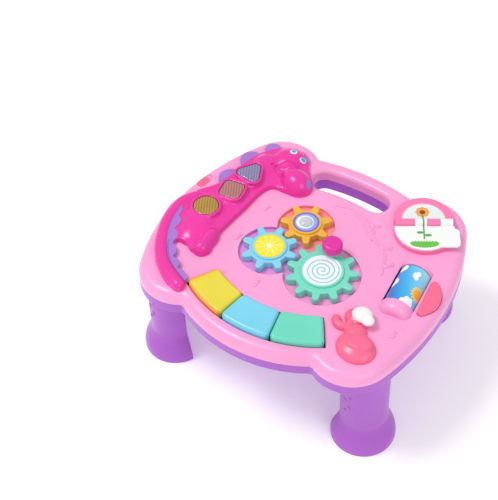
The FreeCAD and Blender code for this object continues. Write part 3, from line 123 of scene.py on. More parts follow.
# %% [markdown]
# ## Moulded plastic
# The toy is injection-moulded ABS: an even colour, a soft gloss, a faint ripple from the mould and fine
# hairlines from handling. One recipe serves all colours, so the pieces look like one family. Colour
# drifts by a few percent over a hand's width, roughness over a thumb's width, and the bump is a few
# hundredths of a millimetre.

# %% The plastic recipe
def linear(hex_code):
    """Colour as it is written in a picture, turned into the renderer's linear values."""
    channels = [int(hex_code[i:i + 2], 16) / 255 for i in (1, 3, 5)]
    return [c / 12.92 if c <= 0.04045 else ((c + 0.055) / 1.055) ** 2.4 for c in channels] + [1.0]


def shade(colour, factor):
    """The colour made lighter or darker."""
    return [min(1.0, c * factor) for c in colour[:3]] + [1.0]


def node(tree, kind, place, inputs=None, **settings):
    """Add a shader node at a place in the tree, with values for some of its inputs."""
    made = tree.nodes.new(kind)
    made.location = place
    for key, value in settings.items():
        setattr(made, key, value)
    for key, value in (inputs or {}).items():
        made.inputs[key].default_value = value
    return made


def new_material(name):
    """Empty material with a Principled shader and object coordinates."""
    material = bpy.data.materials.new(name)
    material.use_nodes = True
    tree = material.node_tree
    shader = tree.nodes["Principled BSDF"]
    coords = node(tree, "ShaderNodeTexCoord", (-1100, 0))
    return material, tree, shader, coords.outputs["Object"]


def paint(tree, shader, colour):
    """Feed a colour to the shader."""
    tree.links.new(colour, shader.inputs["Base Color"])


def ramp(tree, place, source, stops):
    """Colour ramp fed by a value; stops are (position, colour)."""
    made = node(tree, "ShaderNodeValToRGB", place)
    while len(made.color_ramp.elements) < len(stops):
        made.color_ramp.elements.new(0.5)
    for element, (position, colour) in zip(made.color_ramp.elements, stops):
        element.position = position
        element.color = colour
    tree.links.new(source, made.inputs[0])
    return made.outputs[0]


def surface_detail(tree, shader, coords, roughness=0.26, ripple=0.05, grain=900, scuffs=0.12):
    """Uneven gloss, mould ripple and fine hairlines."""
    patches = node(tree, "ShaderNodeTexNoise", (-850, -300), inputs={"Scale": 45, "Detail": 3})
    tree.links.new(coords, patches.inputs["Vector"])
    stretch = node(tree, "ShaderNodeMapping", (-1050, -550),
                   inputs={"Scale": (260, 26, 120), "Rotation": (0.3, 0.2, 0.7)})
    tree.links.new(coords, stretch.inputs["Vector"])
    lines = node(tree, "ShaderNodeTexNoise", (-850, -550), inputs={"Scale": 3.0, "Detail": 2})
    tree.links.new(stretch.outputs[0], lines.inputs["Vector"])
    hair = ramp(tree, (-650, -550), lines.outputs["Fac"], [(0.60, (0, 0, 0, 1)), (0.66, (1, 1, 1, 1))])
    gloss = node(tree, "ShaderNodeMapRange", (-600, -300),
                 inputs={"To Min": roughness - 0.05, "To Max": roughness + 0.07})
    tree.links.new(patches.outputs["Fac"], gloss.inputs["Value"])
    worn = node(tree, "ShaderNodeMath", (-350, -350), operation="MULTIPLY_ADD", inputs={1: scuffs})
    tree.links.new(hair, worn.inputs[0])
    tree.links.new(gloss.outputs[0], worn.inputs[2])
    tree.links.new(worn.outputs[0], shader.inputs["Roughness"])
    fine = node(tree, "ShaderNodeTexNoise", (-850, -800), inputs={"Scale": grain, "Detail": 2})
    tree.links.new(coords, fine.inputs["Vector"])
    bump = node(tree, "ShaderNodeBump", (-350, -700), inputs={"Strength": ripple, "Distance": 0.0003})
    tree.links.new(fine.outputs["Fac"], bump.inputs["Height"])
    tree.links.new(bump.outputs[0], shader.inputs["Normal"])
    return bump


def drift(tree, coords, colour, amount=0.04, scale=14):
    """Slow colour variation about one colour."""
    clouds = node(tree, "ShaderNodeTexNoise", (-850, 150), inputs={"Scale": scale, "Detail": 2})
    tree.links.new(coords, clouds.inputs["Vector"])
    return ramp(tree, (-600, 150), clouds.outputs["Fac"],
                [(0.3, shade(colour, 1 - amount)), (0.7, shade(colour, 1 + amount))])


def plastic(name, hex_code, roughness=0.26, ripple=0.05, grain=900, scuffs=0.12):
    """Moulded plastic in one colour."""
    material, tree, shader, coords = new_material(name)
    paint(tree, shader, drift(tree, coords, linear(hex_code)))
    surface_detail(tree, shader, coords, roughness, ripple, grain, scuffs)
    shader.inputs["IOR"].default_value = 1.5
    return material


def dress(node_name, material):
    """Give a solid part its finish."""
    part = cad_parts[node_name]
    part.data.materials.clear()
    part.data.materials.append(material)


SHELL_TONE = "#F7A2D4"
DISC_TONE = "#F87EB2"
KEY_TONE = "#E6D640"
WHITE_TONE = "#F3F5F3"
shell_pink = plastic("shell pink", SHELL_TONE)
tray_purple = plastic("tray purple", "#AC58C6", roughness=0.3, ripple=0.02, grain=400, scuffs=0.05)
dinosaur_magenta = plastic("dinosaur magenta", "#EB34A3", roughness=0.2, scuffs=0.04)
crest_purple = plastic("crest purple", "#A878CE")
gear_teal = plastic("gear mint", "#78DAC2")
gear_sky = plastic("gear sky blue", "#86D2EA")
gear_orange = plastic("gear amber", "#EFB63C")
key_sky = plastic("key sky blue", "#7AD2EA", roughness=0.24)
key_mint = plastic("key mint", "#6ED8BE", roughness=0.24)
coral = plastic("coral", "#F96C92")
soft_white = plastic("white ear", WHITE_TONE)
knob_magenta = plastic("knob magenta", "#E02A9E", roughness=0.3)
print(len(bpy.data.materials), "materials so far")

# %% Dress the plain parts
for name in ("base_tray", "battery_door", "leg_front_right", "leg_front_left", "leg_rear_right",
             "leg_rear_left"):
    dress(name, tray_purple)
dress("dinosaur_cover", dinosaur_magenta)
dress("dinosaur_spikes", crest_purple)
dress("gear_big", gear_teal)
dress("gear_blue", gear_sky)
dress("gear_yellow", gear_orange)
dress("key_blue", key_sky)
dress("key_teal", key_mint)
dress("crank_knob", knob_magenta)
for name in ("side_button", "elephant_body", "power_slider"):
    dress(name, coral)
dress("elephant_ear", soft_white)
print("plain parts dressed; the shell, the yellow key, the caps and the disc follow")

# %% [markdown]
# ## Printed caps on the gears
# The round caps carry simple prints: a spiral on the big gear, a starburst on the blue one, rings on the
# yellow one. A print follows its own centre, so each material measures the distance and the angle from
# the gear's axis, and the colours come from those two numbers.

# %% Distance and angle from a centre
def around(tree, coords, centre):
    """Radius in metres and angle in radians about a vertical axis."""
    shift = node(tree, "ShaderNodeVectorMath", (-1500, 400), operation="SUBTRACT",
                 inputs={1: (centre[0], centre[1], 0)})
    tree.links.new(coords, shift.inputs[0])
    flat = node(tree, "ShaderNodeVectorMath", (-1350, 400), operation="MULTIPLY", inputs={1: (1, 1, 0)})
    tree.links.new(shift.outputs[0], flat.inputs[0])
    size = node(tree, "ShaderNodeVectorMath", (-1200, 450), operation="LENGTH")
    tree.links.new(flat.outputs[0], size.inputs[0])
    split = node(tree, "ShaderNodeSeparateXYZ", (-1200, 300))
    tree.links.new(flat.outputs[0], split.inputs[0])
    angle = node(tree, "ShaderNodeMath", (-1050, 300), operation="ARCTAN2")
    tree.links.new(split.outputs[1], angle.inputs[0])
    tree.links.new(split.outputs[0], angle.inputs[1])
    return size.outputs["Value"], angle.outputs[0]


def sums(tree, operation, first, second):
    """One math node; a plain number or an output may be given for each value."""
    made = node(tree, "ShaderNodeMath", (-900, 300), operation=operation)
    for slot, value in zip(made.inputs, (first, second)):
        if isinstance(value, (int, float)):
            slot.default_value = value
        else:
            tree.links.new(value, slot)
    return made.outputs[0]


def blend_colours(tree, factor, first, second):
    """Mix two colours, each a plain colour or an output."""
    made = node(tree, "ShaderNodeMix", (-250, 200), data_type="RGBA")
    tree.links.new(factor, made.inputs[0])
    for slot, value in ((made.inputs[6], first), (made.inputs[7], second)):
        if isinstance(value, (list, tuple)):
            slot.default_value = value
        else:
            tree.links.new(value, slot)
    return made.outputs[2]


def step(tree, value, edge, soft=0.0003):
    """0 below the edge and 1 above it, with a thin soft border."""
    made = node(tree, "ShaderNodeMapRange", (-500, 300),
                inputs={"From Min": edge - soft, "From Max": edge + soft})
    tree.links.new(value, made.inputs["Value"])
    return made.outputs[0]


def within(tree, value, edge, soft=0.0003):
    """1 below the edge and 0 above it."""
    return sums(tree, "SUBTRACT", 1.0, step(tree, value, edge, soft))


BLACK, WHITE = (0, 0, 0, 1), (1, 1, 1, 1)

# %% Spiral on the big gear's cap
SPIRAL_PITCH = 0.0052
SPIRAL_REACH = 0.0192
spiral_cap, tree, shader, coords = new_material("spiral print")
radius, angle = around(tree, coords, BIG)
turns = sums(tree, "MULTIPLY", radius, 1 / SPIRAL_PITCH)
swing = sums(tree, "MULTIPLY", angle, 1 / (2 * math.pi))
phase = sums(tree, "FRACT", sums(tree, "SUBTRACT", turns, swing), 0)
line = ramp(tree, (-700, 400), phase, [(0.30, BLACK), (0.37, WHITE), (0.60, WHITE), (0.67, BLACK)])
painted = sums(tree, "MULTIPLY", line, within(tree, radius, SPIRAL_REACH))
paint(tree, shader, blend_colours(tree, painted, linear("#F3F8FA"), linear("#86CBE6")))
surface_detail(tree, shader, coords, 0.22)
dress("gear_big_disc", spiral_cap)
print("spiral with", SPIRAL_PITCH * 1000, "mm between its turns")

# %% Starburst on the blue gear's cap
BURST_RAYS = 10
BURST_REACH = 0.0162
RAY_SWEEP = 135.0
burst_cap, tree, shader, coords = new_material("starburst print")
radius, angle = around(tree, coords, BLUE)
twist = sums(tree, "ADD", sums(tree, "MULTIPLY", angle, float(BURST_RAYS)),
             sums(tree, "MULTIPLY", radius, RAY_SWEEP))
rays = ramp(tree, (-700, 400), sums(tree, "SINE", twist, 0), [(0.55, BLACK), (0.95, WHITE)])
fade = node(tree, "ShaderNodeMapRange", (-500, 500),
            inputs={"From Min": 0.001, "From Max": BURST_REACH, "To Min": 1.0, "To Max": 0.0})
tree.links.new(radius, fade.inputs["Value"])
glow = sums(tree, "MULTIPLY", rays, fade.outputs[0])
lit = sums(tree, "MAXIMUM", glow, within(tree, radius, 0.0022, 0.0014))
rim_tint = blend_colours(tree, step(tree, radius, 0.0160, 0.0012), linear("#FBE631"), linear("#F6D322"))
paint(tree, shader, blend_colours(tree, lit, rim_tint, linear("#FFFDE8")))
surface_detail(tree, shader, coords, 0.24)
dress("gear_blue_disc", burst_cap)
print("starburst with", BURST_RAYS, "rays")

# %% Rings and clear dome on the yellow gear
MOON_REACH = 0.0100
RING_REACH = 0.0129
ring_cap, tree, shader, coords = new_material("ring print")
radius = around(tree, coords, YELLOW)[0]
moon = around(tree, coords, (YELLOW[0] - 0.0012, YELLOW[1] - 0.0004))[0]
moon_edge = step(tree, moon, MOON_REACH, 0.0004)
inner_tint = blend_colours(tree, moon_edge, linear("#F2F6FF"), linear("#8FA8F0"))
paint(tree, shader, blend_colours(tree, step(tree, radius, RING_REACH), inner_tint, linear("#7A63CC")))
surface_detail(tree, shader, coords, 0.24)
dress("gear_yellow_ring", ring_cap)

clear_dome, tree, shader, coords = new_material("clear dome")
paint(tree, shader, drift(tree, coords, linear("#EDF0F8"), 0.08, 160))
surface_detail(tree, shader, coords, 0.08, scuffs=0.05)
shader.inputs["Transmission Weight"].default_value = 0.35
dress("gear_yellow_dome", clear_dome)

# %% [markdown]
# ## Lenses
# Each lens is a tinted clear cap with ribs inside that spread the light of one lamp. Seen from outside
# the ribs read as fine bright and dark bands under a smooth skin. That light and shade is painted into
# the colour as bands, with a painted glint at the brightest. The bands are also a shallow bump, and the
# skin keeps a sharp highlight.

# %% Ribbed lens material
RIB_TURN = math.radians(62)
RIBS = 190
CROSS_RIBS = 100
RIB_SHARE = 0.72


def lens_material(name, dark, light):
    """Clear tinted plastic with fine ribs and wider cross ribs, whose light and shade are painted into
    the colour as bands.
    """
    material, tree, shader, coords = new_material(name)
    turned = node(tree, "ShaderNodeMapping", (-1300, 200), inputs={"Rotation": (0, 0, RIB_TURN)})
    tree.links.new(coords, turned.inputs["Vector"])
    bands = node(tree, "ShaderNodeTexWave", (-1100, 300), wave_type="BANDS", bands_direction="X",
                 inputs={"Scale": RIBS})
    tree.links.new(turned.outputs[0], bands.inputs["Vector"])
    cross = node(tree, "ShaderNodeTexWave", (-1100, 0), wave_type="BANDS", bands_direction="Y",
                 inputs={"Scale": CROSS_RIBS})
    tree.links.new(turned.outputs[0], cross.inputs["Vector"])
    cell = sums(tree, "ADD", sums(tree, "MULTIPLY", bands.outputs["Fac"], RIB_SHARE),
                sums(tree, "MULTIPLY", cross.outputs["Fac"], 1 - RIB_SHARE))
    # Painted light and shade of the ribs: a dark band, a light band and a brighter painted glint at the
    # top stop.
    stops = [(0.1, linear(dark)), (0.55, linear(light)), (1.0, shade(linear(light), 1.35))]
    paint(tree, shader, ramp(tree, (-600, 300), cell, stops))
    bump = surface_detail(tree, shader, coords, 0.12, scuffs=0.05)
    ribs = node(tree, "ShaderNodeBump", (-150, -500), inputs={"Strength": 0.5, "Distance": 0.0006})
    tree.links.new(cell, ribs.inputs["Height"])
    tree.links.new(bump.outputs[0], ribs.inputs["Normal"])
    tree.links.new(ribs.outputs[0], shader.inputs["Normal"])
    shader.inputs["Coat Weight"].default_value = 0.8
    shader.inputs["Coat Roughness"].default_value = 0.05
    shader.inputs["Transmission Weight"].default_value = 0.25
    return material


dress("lens_round", lens_material("amber lens", "#4E3404", "#D8A834"))
dress("lens_square", lens_material("rose lens", "#6E2E34", "#D89088"))
dress("lens_triangle", lens_material("violet lens", "#343056", "#A8A0D2"))
print("three ribbed lenses")

# %% [markdown]
# The lamps under the lenses are small clear domes. The eyes are printed: a blue iris with a dark line
# round it, white, and a pale blue edge, all as rings about the middle of each eye.

# %% Lamps and eyes
EYE_CENTRES = ((-0.0822, 0.1150), (-0.0677, 0.1120))
IRIS, IRIS_LINE, EYE_WHITE = 0.0023, 0.0027, 0.0040
lamp_clear, tree, shader, coords = new_material("clear lamp")
paint(tree, shader, drift(tree, coords, linear("#F7F3DE"), 0.05, 300))
surface_detail(tree, shader, coords, 0.1)
shader.inputs["Transmission Weight"].default_value = 0.4
dress("lamps", lamp_clear)

eyes, tree, shader, coords = new_material("eye print")
near_one, near_two = [around(tree, coords, centre)[0] for centre in EYE_CENTRES]
nearest = sums(tree, "MINIMUM", near_one, near_two)
iris = blend_colours(tree, step(tree, nearest, IRIS, 0.0002), linear("#36B4CC"), linear("#5B6C78"))
white = blend_colours(tree, step(tree, nearest, IRIS_LINE, 0.0002), iris, linear("#F4FAFC"))
eye_edge = step(tree, nearest, EYE_WHITE, 0.0001)
paint(tree, shader, blend_colours(tree, eye_edge, white, linear("#9AC6DC")))
surface_detail(tree, shader, coords, 0.15)
dress("dinosaur_eyes", eyes)

# %% [markdown]
# ## The printed drum
# The drum is a white moulded roller with a printed sleeve of sky. The print runs round the drum, so the
# material works with the distance along the axle and the angle round it. Clouds are groups of soft
# circles, and one sun with rays looks out between them.

# %% Sky print
SLEEVE_RADIUS = 18.0
SUN = (-6.0, 16.5)
SUN_RADIUS, RAY_MIDDLE, RAY_SWING, RAY_COUNT = 6.0, 8.2, 1.5, 14.0
# Place along and round the sleeve, and size
CLOUDS = [((14, 4), 3.2), ((17, 6.5), 2.6), ((11, 6), 2.4), ((1, -15), 3.6), ((-2.5, -17.5), 3.4),
          ((4.5, -17), 2.8), ((-21, 8), 4.0), ((-23.5, 13), 3.8), ((-24.5, 3.5), 3.2),
          ((-19, 12.5), 2.6), ((22, -12), 3.4), ((19, -15), 2.8), ((-14, -26), 4.4), ((8, 27), 4.4),
          ((12, 30), 3.6)]


def drum_coordinates(tree, coords):
    """Millimetres along the axle and round the sleeve, from the top towards +X."""
    place = node(tree, "ShaderNodeMapping", (-1700, 300), vector_type="TEXTURE",
                 inputs={"Location": DRUM, "Rotation": (0, 0, DRUM_TURN)})
    tree.links.new(coords, place.inputs["Vector"])
    split = node(tree, "ShaderNodeSeparateXYZ", (-1550, 300))
    tree.links.new(place.outputs[0], split.inputs[0])
    turn = sums(tree, "ARCTAN2", split.outputs[0], split.outputs[2])
    return sums(tree, "MULTIPLY", split.outputs[1], 1000.0), sums(tree, "MULTIPLY", turn, SLEEVE_RADIUS)


def print_spot(tree, along, across, centre, size, stretch=1.0):
    """Distance from a place on the sleeve over a size: under 1 inside the spot. Millimetres."""
    first = sums(tree, "MULTIPLY", sums(tree, "SUBTRACT", along, centre[0]), 1 / stretch)
    second = sums(tree, "SUBTRACT", across, centre[1])
    square = sums(tree, "ADD", *[sums(tree, "MULTIPLY", part, part) for part in (first, second)])
    return sums(tree, "MULTIPLY", sums(tree, "SQRT", square, 0), 1 / size)


sky_print, tree, shader, coords = new_material("sky print")
along, across = drum_coordinates(tree, coords)
height = node(tree, "ShaderNodeMapRange", (-900, 600), inputs={"From Min": -34, "From Max": 26})
tree.links.new(sums(tree, "ADD", across, sums(tree, "MULTIPLY", along, 0.35)), height.inputs["Value"])
colour = ramp(tree, (-700, 600), height.outputs[0],
              [(0.0, linear("#2F7FD0")), (0.25, linear("#1F78D2")),
               (0.55, linear("#3FB2EC")), (1.0, linear("#9FE4F8"))])
sun_far = print_spot(tree, along, across, SUN, 1.0)
sun_turn = sums(tree, "ARCTAN2", sums(tree, "SUBTRACT", across, SUN[1]),
                sums(tree, "SUBTRACT", along, SUN[0]))
ray_wave = sums(tree, "SINE", sums(tree, "MULTIPLY", sun_turn, RAY_COUNT), 0)
ray_edge = sums(tree, "SUBTRACT", sun_far, sums(tree, "MULTIPLY", ray_wave, RAY_SWING))
ray_edge = sums(tree, "SUBTRACT", ray_edge, RAY_MIDDLE)
colour = blend_colours(tree, step(tree, ray_edge, 0.0, 0.15), linear("#FFD84A"), colour)
colour = blend_colours(tree, step(tree, sun_far, SUN_RADIUS, 0.12), linear("#FFB02E"), colour)
for centre, size in CLOUDS:
    spot = print_spot(tree, along, across, centre, size, 1.25)
    colour = blend_colours(tree, step(tree, spot, 1.0, 0.06), linear("#F6FAFD"), colour)
paint(tree, shader, colour)
surface_detail(tree, shader, coords, 0.2)
shader.inputs["Coat Weight"].default_value = 0.3
dress("roller_drum", sky_print)
print(len(CLOUDS), "cloud spots on the drum")

# %% [markdown]
# ## The picture disc
# The disc has a white picture field behind the hinge and a white flap in front of it. Each turn of the
# flap changes the lower half of the picture. Here it is a flower: its head above, stem, leaves and
# grass below. The picture is drawn on both with the same coordinates: across the hinge and up from it.

# %% Picture coordinates
def picture_coordinates(tree, coords):
    """Millimetres across the picture and up from the hinge, and the level in metres."""
    place = node(tree, "ShaderNodeMapping", (-1700, 300), vector_type="TEXTURE",
                 inputs={"Location": (DISC[0], DISC[1], 0), "Rotation": (0, 0, HINGE_TURN)})
    tree.links.new(coords, place.inputs["Vector"])
    split = node(tree, "ShaderNodeSeparateXYZ", (-1550, 300))
    tree.links.new(place.outputs[0], split.inputs[0])
    return [sums(tree, "MULTIPLY", output, 1000.0) for output in split.outputs[:2]] + [split.outputs[2]]


def print_bar(tree, across, up_by, centre, half_across, half_up):
    """1 inside a box of the print, 0 outside."""
    reach = [sums(tree, "DIVIDE", sums(tree, "ABSOLUTE", sums(tree, "SUBTRACT", value, middle), 0), half)
             for value, middle, half in ((across, centre[0], half_across), (up_by, centre[1], half_up))]
    return within(tree, sums(tree, "MAXIMUM", *reach), 1.0, 0.03)


def spot_mask(tree, across, up_by, centre, size, stretch=1.0):
    """1 inside a round or drawn-out spot of the print, 0 outside."""
    return within(tree, print_spot(tree, across, up_by, centre, size, stretch), 1.0, 0.05)


# %% Flower head on the plate
FIELD_CENTRE, FIELD_RADIUS = (0.0, 6.5), 24.4
HEAD, HEAD_RADIUS = (-1.0, 18.0), 3.3
PETALS, PETAL_RING, PETAL_RADIUS = 8, 5.2, 2.9
STEM_HALF = 0.9
PLATE_FACE = PLAY + 0.0055
FLAP_FACE = PLAY + 0.0079
LEAF_GREEN = linear("#56A648")
plate_print, tree, shader, coords = new_material("picture plate print")
across, up_by, level = picture_coordinates(tree, coords)
field = spot_mask(tree, across, up_by, FIELD_CENTRE, FIELD_RADIUS)
field = sums(tree, "MULTIPLY", field, step(tree, up_by, 5.8, 0.2))
field = sums(tree, "MULTIPLY", field, step(tree, level, PLATE_FACE, 0.0002))
colour = blend_colours(tree, field, linear(DISC_TONE), linear("#E4F0EE"))
for i in range(PETALS):
    turn = i * 2 * math.pi / PETALS
    petal = (HEAD[0] + PETAL_RING * math.cos(turn), HEAD[1] + PETAL_RING * math.sin(turn))
    mask = sums(tree, "MULTIPLY", spot_mask(tree, across, up_by, petal, PETAL_RADIUS), field)
    colour = blend_colours(tree, mask, colour, linear("#F4A24A"))
mask = sums(tree, "MULTIPLY", spot_mask(tree, across, up_by, HEAD, HEAD_RADIUS), field)
colour = blend_colours(tree, mask, colour, linear("#8A4A26"))
stem = sums(tree, "MULTIPLY", print_bar(tree, across, up_by, (HEAD[0], 9.5), STEM_HALF, 4.5), field)
colour = blend_colours(tree, stem, colour, LEAF_GREEN)
paint(tree, shader, colour)
surface_detail(tree, shader, coords, 0.24)
dress("picture_plate", plate_print)

# %% Stem, leaves and grass on the flap
flap_print, tree, shader, coords = new_material("picture flap print")
across, up_by, level = picture_coordinates(tree, coords)
upper_side = step(tree, level, FLAP_FACE, 0.0002)
stem = print_bar(tree, across, up_by, (HEAD[0], -9.5), STEM_HALF, 15.5)
leaf_one = spot_mask(tree, across, up_by, (HEAD[0] - 4.2, -15.0), 1.9, 2.2)
leaf_two = spot_mask(tree, across, up_by, (HEAD[0] + 4.4, -19.0), 1.9, 2.2)
green = sums(tree, "MAXIMUM", stem, sums(tree, "MAXIMUM", leaf_one, leaf_two))
blades = sums(tree, "MULTIPLY", sums(tree, "PINGPONG", across, 1.6), 1.3)
meadow = sums(tree, "MULTIPLY", spot_mask(tree, across, up_by, (HEAD[0], -31.5), 6.0, 2.7),
              within(tree, sums(tree, "SUBTRACT", up_by, blades), -29.0, 0.2))
colour = blend_colours(tree, sums(tree, "MULTIPLY", green, upper_side), linear(WHITE_TONE), LEAF_GREEN)
colour = blend_colours(tree, sums(tree, "MULTIPLY", meadow, upper_side), colour, linear("#6CC04A"))
paint(tree, shader, colour)
surface_detail(tree, shader, coords, 0.24)
dress("picture_flap", flap_print)
print("flower picture on plate and flap")

# %% [markdown]
# ## Metal, rubber and the parts inside
# Screws and pins are zinc-plated steel, the key pads are conductive rubber, and the boards are green
# laminate with bright copper tracks under the lacquer. They are seen only with the case open, yet each
# gets its own finish.

# %% Steel, rubber, boards
def steel(name, hex_code):
    """Plated metal with a brushed look."""
    material, tree, shader, coords = new_material(name)
    paint(tree, shader, drift(tree, coords, linear(hex_code), 0.1, 400))
    surface_detail(tree, shader, coords, 0.3, 0.08, 2200, 0.2)
    shader.inputs["Metallic"].default_value = 1.0
    return material


plated = steel("zinc-plated steel", "#C9CCD0")
for name in ("gear_screws", "case_screws", "speaker_screws", "board_screws", "door_screw", "crank_pin",
             "roller_axle", "flap_pin", "ear_pin"):
    dress(name, plated)
dress("battery_contacts", steel("nickel contact", "#D6D2C6"))
rubber = plastic("conductive rubber", "#3A3B40", roughness=0.6, ripple=0.3, grain=1500)
for name in ("key_pad_yellow", "key_pad_blue", "key_pad_teal", "side_button_pad"):
    dress(name, rubber)

laminate, tree, shader, coords = new_material("green laminate")
tracks = node(tree, "ShaderNodeTexBrick", (-900, 300),
              inputs={"Scale": 160, "Mortar Size": 0.03, "Mortar": linear("#8FA850"),
                      "Color1": linear("#2C7A4C"), "Color2": linear("#256C43")})
tree.links.new(coords, tracks.inputs["Vector"])
paint(tree, shader, tracks.outputs["Color"])
surface_detail(tree, shader, coords, 0.35)
for name in ("key_board", "button_board", "light_board", "main_board"):
    dress(name, laminate)

black_case = plastic("black moulding", "#2B2C31", roughness=0.45, ripple=0.2, grain=1800)
for name in ("power_switch", "chip_cover", "speaker"):
    dress(name, black_case)
CELL_BAND_FROM = 0.0175
cell_sleeve, tree, shader, coords = new_material("cell sleeve")
split = node(tree, "ShaderNodeSeparateXYZ", (-900, 300))
tree.links.new(coords, split.inputs[0])
band = step(tree, sums(tree, "ABSOLUTE", split.outputs[0], 0), CELL_BAND_FROM, 0.0001)
paint(tree, shader, blend_colours(tree, band, linear("#2E3240"), linear("#C8A24A")))
surface_detail(tree, shader, coords, 0.25)
shader.inputs["Metallic"].default_value = 0.6
dress("batteries", cell_sleeve)
print(len(bpy.data.materials), "materials in all")

# %% [markdown]
# ## Building soft forms
# The dinosaur and the elephant are blown-looking forms without a sharp edge, as a carver rounds a block.
# Each is built the way a sculptor works in clay: lumps are pressed together on a flat plate, the whole
# is turned into one skin, and the skin is smoothed. What lies under the play surface is sliced off.

# %% Tools for soft forms
def metres(points):
    """Points in millimetres, turned into metres."""
    return [tuple(v / 1000 for v in point) for point in points]


def bend_between(a, b, c, d, t):
    """Point of a smooth line from b to c, which also heeds the neighbours a and d."""
    return 0.5 * (2 * b + (c - a) * t + (2 * a - 5 * b + 4 * c - d) * t * t
                  + (3 * b - a - 3 * c + d) * t ** 3)


def smooth_loop(points, steps):
    """Closed smooth outline through points, each span in some steps."""
    loop = []
    count = len(points)
    for i in range(count):
        a, b, c, d = (Vector(points[(i + k) % count]) for k in (-1, 0, 1, 2))
        loop += [bend_between(a, b, c, d, k / steps) for k in range(steps)]
    return loop


def smooth_run(points, steps=5):
    """Open smooth line through points."""
    ends = [points[0]] + list(points) + [points[-1]]
    run = []
    for i in range(1, len(ends) - 2):
        a, b, c, d = (Vector(p) for p in ends[i - 1:i + 3])
        run += [bend_between(a, b, c, d, k / steps) for k in range(steps)]
    return run + [Vector(points[-1])]


def prism_piece(name, outline, low, high):
    """Upright prism: a filled circle whose points are set to the outline, then extruded."""
    fresh()
    bpy.ops.mesh.primitive_circle_add(vertices=len(outline), radius=0.01, fill_type="NGON")
    piece = named(name)
    for vertex, point in zip(piece.data.vertices, outline):
        vertex.co = (point[0], point[1], low)
    bpy.ops.object.mode_set(mode="EDIT")
    bpy.ops.mesh.select_all(action="SELECT")
    bpy.ops.mesh.extrude_region_move(TRANSFORM_OT_translate={"value": (0, 0, high - low)})
    bpy.ops.mesh.select_all(action="SELECT")
    bpy.ops.mesh.normals_make_consistent(inside=False)
    bpy.ops.object.mode_set(mode="OBJECT")
    return piece


def ball(place, turn, half_sizes, segments=32, rings=20):
    """Ellipsoid at a place in metres, with half sizes in millimetres."""
    fresh()
    bpy.ops.mesh.primitive_uv_sphere_add(segments=segments, ring_count=rings, radius=0.001,
                                         location=place, rotation=turn, scale=half_sizes)
    return bpy.context.object


def lump(x, y, half_x, half_y, height, turn=0.0, level=0.0):
    """Ellipsoid on the play surface; millimetres and degrees."""
    place = (x / 1000, y / 1000, PLAY + level / 1000)
    return ball(place, (0, 0, math.radians(turn)), (half_x, half_y, height))


def tube(name, points, radius, cyclic=False):
    """Round rail along points, made from a smooth path with a bevel."""
    fresh()
    bpy.ops.curve.primitive_nurbs_path_add()
    path = named(name)
    path.data.splines.clear()
    spline = path.data.splines.new("NURBS")
    spline.points.add(len(points) - 1)
    for slot, point in zip(spline.points, points):
        slot.co = (*point, 1)
    spline.order_u = min(4, len(points))
    spline.use_endpoint_u = not cyclic
    spline.use_cyclic_u = cyclic
    spline.resolution_u = 8
    path.data.dimensions = "3D"
    path.data.bevel_depth = radius
    path.data.bevel_resolution = 3
    path.data.use_fill_caps = True
    bpy.ops.object.convert(target="MESH")
    return bpy.context.object


def press_together(name, parts, voxel, rounds, level=PLAY - 0.0018):
    """Join lumps, turn them into one skin, smooth it and slice off what lies under a level."""
    piece = join_pieces(name, parts)
    bpy.ops.object.transform_apply(location=True, rotation=True, scale=True)
    add_modifier(piece, "REMESH", mode="VOXEL", voxel_size=voxel)
    add_modifier(piece, "SMOOTH", factor=0.5, iterations=rounds)
    slice_below(piece, level)
    return piece


def slice_below(piece, level):
    """Cut off what lies under a level and close the cut."""
    pick(piece)
    bpy.ops.object.mode_set(mode="EDIT")
    bpy.ops.mesh.select_all(action="SELECT")
    bpy.ops.mesh.bisect(plane_co=(0, 0, level), plane_no=(0, 0, 1), use_fill=True, clear_inner=True)
    bpy.ops.object.mode_set(mode="OBJECT")


def twin(piece, name):
    """Copy with its own mesh."""
    pick(piece)
    bpy.ops.object.duplicate(linked=False)
    return named(name)


def carve(piece, tool, operation="DIFFERENCE"):
    """Boolean with a tool, which is used up."""
    add_modifier(piece, "BOOLEAN", object=tool, operation=operation, solver="EXACT")
    bpy.data.objects.remove(tool)
    return piece


ABOVE_ALL = 0.3


def surface(piece):
    """Function that gives height and normal of a piece's top at a plan point, in metres."""
    tree = BVHTree.FromObject(piece, bpy.context.evaluated_depsgraph_get())

    def at(x, y):
        return tree.ray_cast(Vector((x, y, ABOVE_ALL)), Vector((0, 0, -1)))[:2]
    return at


def inlay(name, skin, outline, proud, depth=0.002):
    """Raised patch that follows a skin: a prism kept where it lies in a slightly swollen copy."""
    top = surface(skin)
    heights = [top(x, y)[0].z for x, y in outline if top(x, y)[0]]
    patch = prism_piece(name, outline, min(heights) - depth, max(heights) + 0.01)
    swollen = twin(skin, "swollen")
    add_modifier(swollen, "DISPLACE", strength=proud, mid_level=0)
    return carve(patch, swollen, "INTERSECT")


def ellipse(x, y, half_x, half_y, turn=0.0, count=20):
    """Outline in metres from millimetres and degrees."""
    points = []
    for i in range(count):
        a = i * 2 * math.pi / count
        u, v = half_x * math.cos(a), half_y * math.sin(a)
        c, s = math.cos(math.radians(turn)), math.sin(math.radians(turn))
        points.append(((x + u * c - v * s) / 1000, (y + u * s + v * c) / 1000))
    return points


def triangles(piece):
    """Number of triangles in a piece's mesh."""
    piece.data.calc_loop_triangles()
    return len(piece.data.loop_triangles)


# %% [markdown]
# ## Dinosaur
# The cover follows the outline of the solid. Its body swells towards the middle, the tail is a round
# sausage that curls in front of it, the thigh is a drop, and the head has a skull and a big snout.

# %% Lens outlines
# Centre, sides (0 for round), radius, corner radius and turn, in millimetres and degrees
LENSES = [((-125.5, -8.0), 0, 14.5, 0.0, 0.0), ((-113.5, 28.0), 4, 9.5, 6.0, 52.0),
          ((-109.5, 62.0), 3, 9.5, 6.5, 84.0)]
ROUND_STEPS = 56
CORNER_STEPS = 12


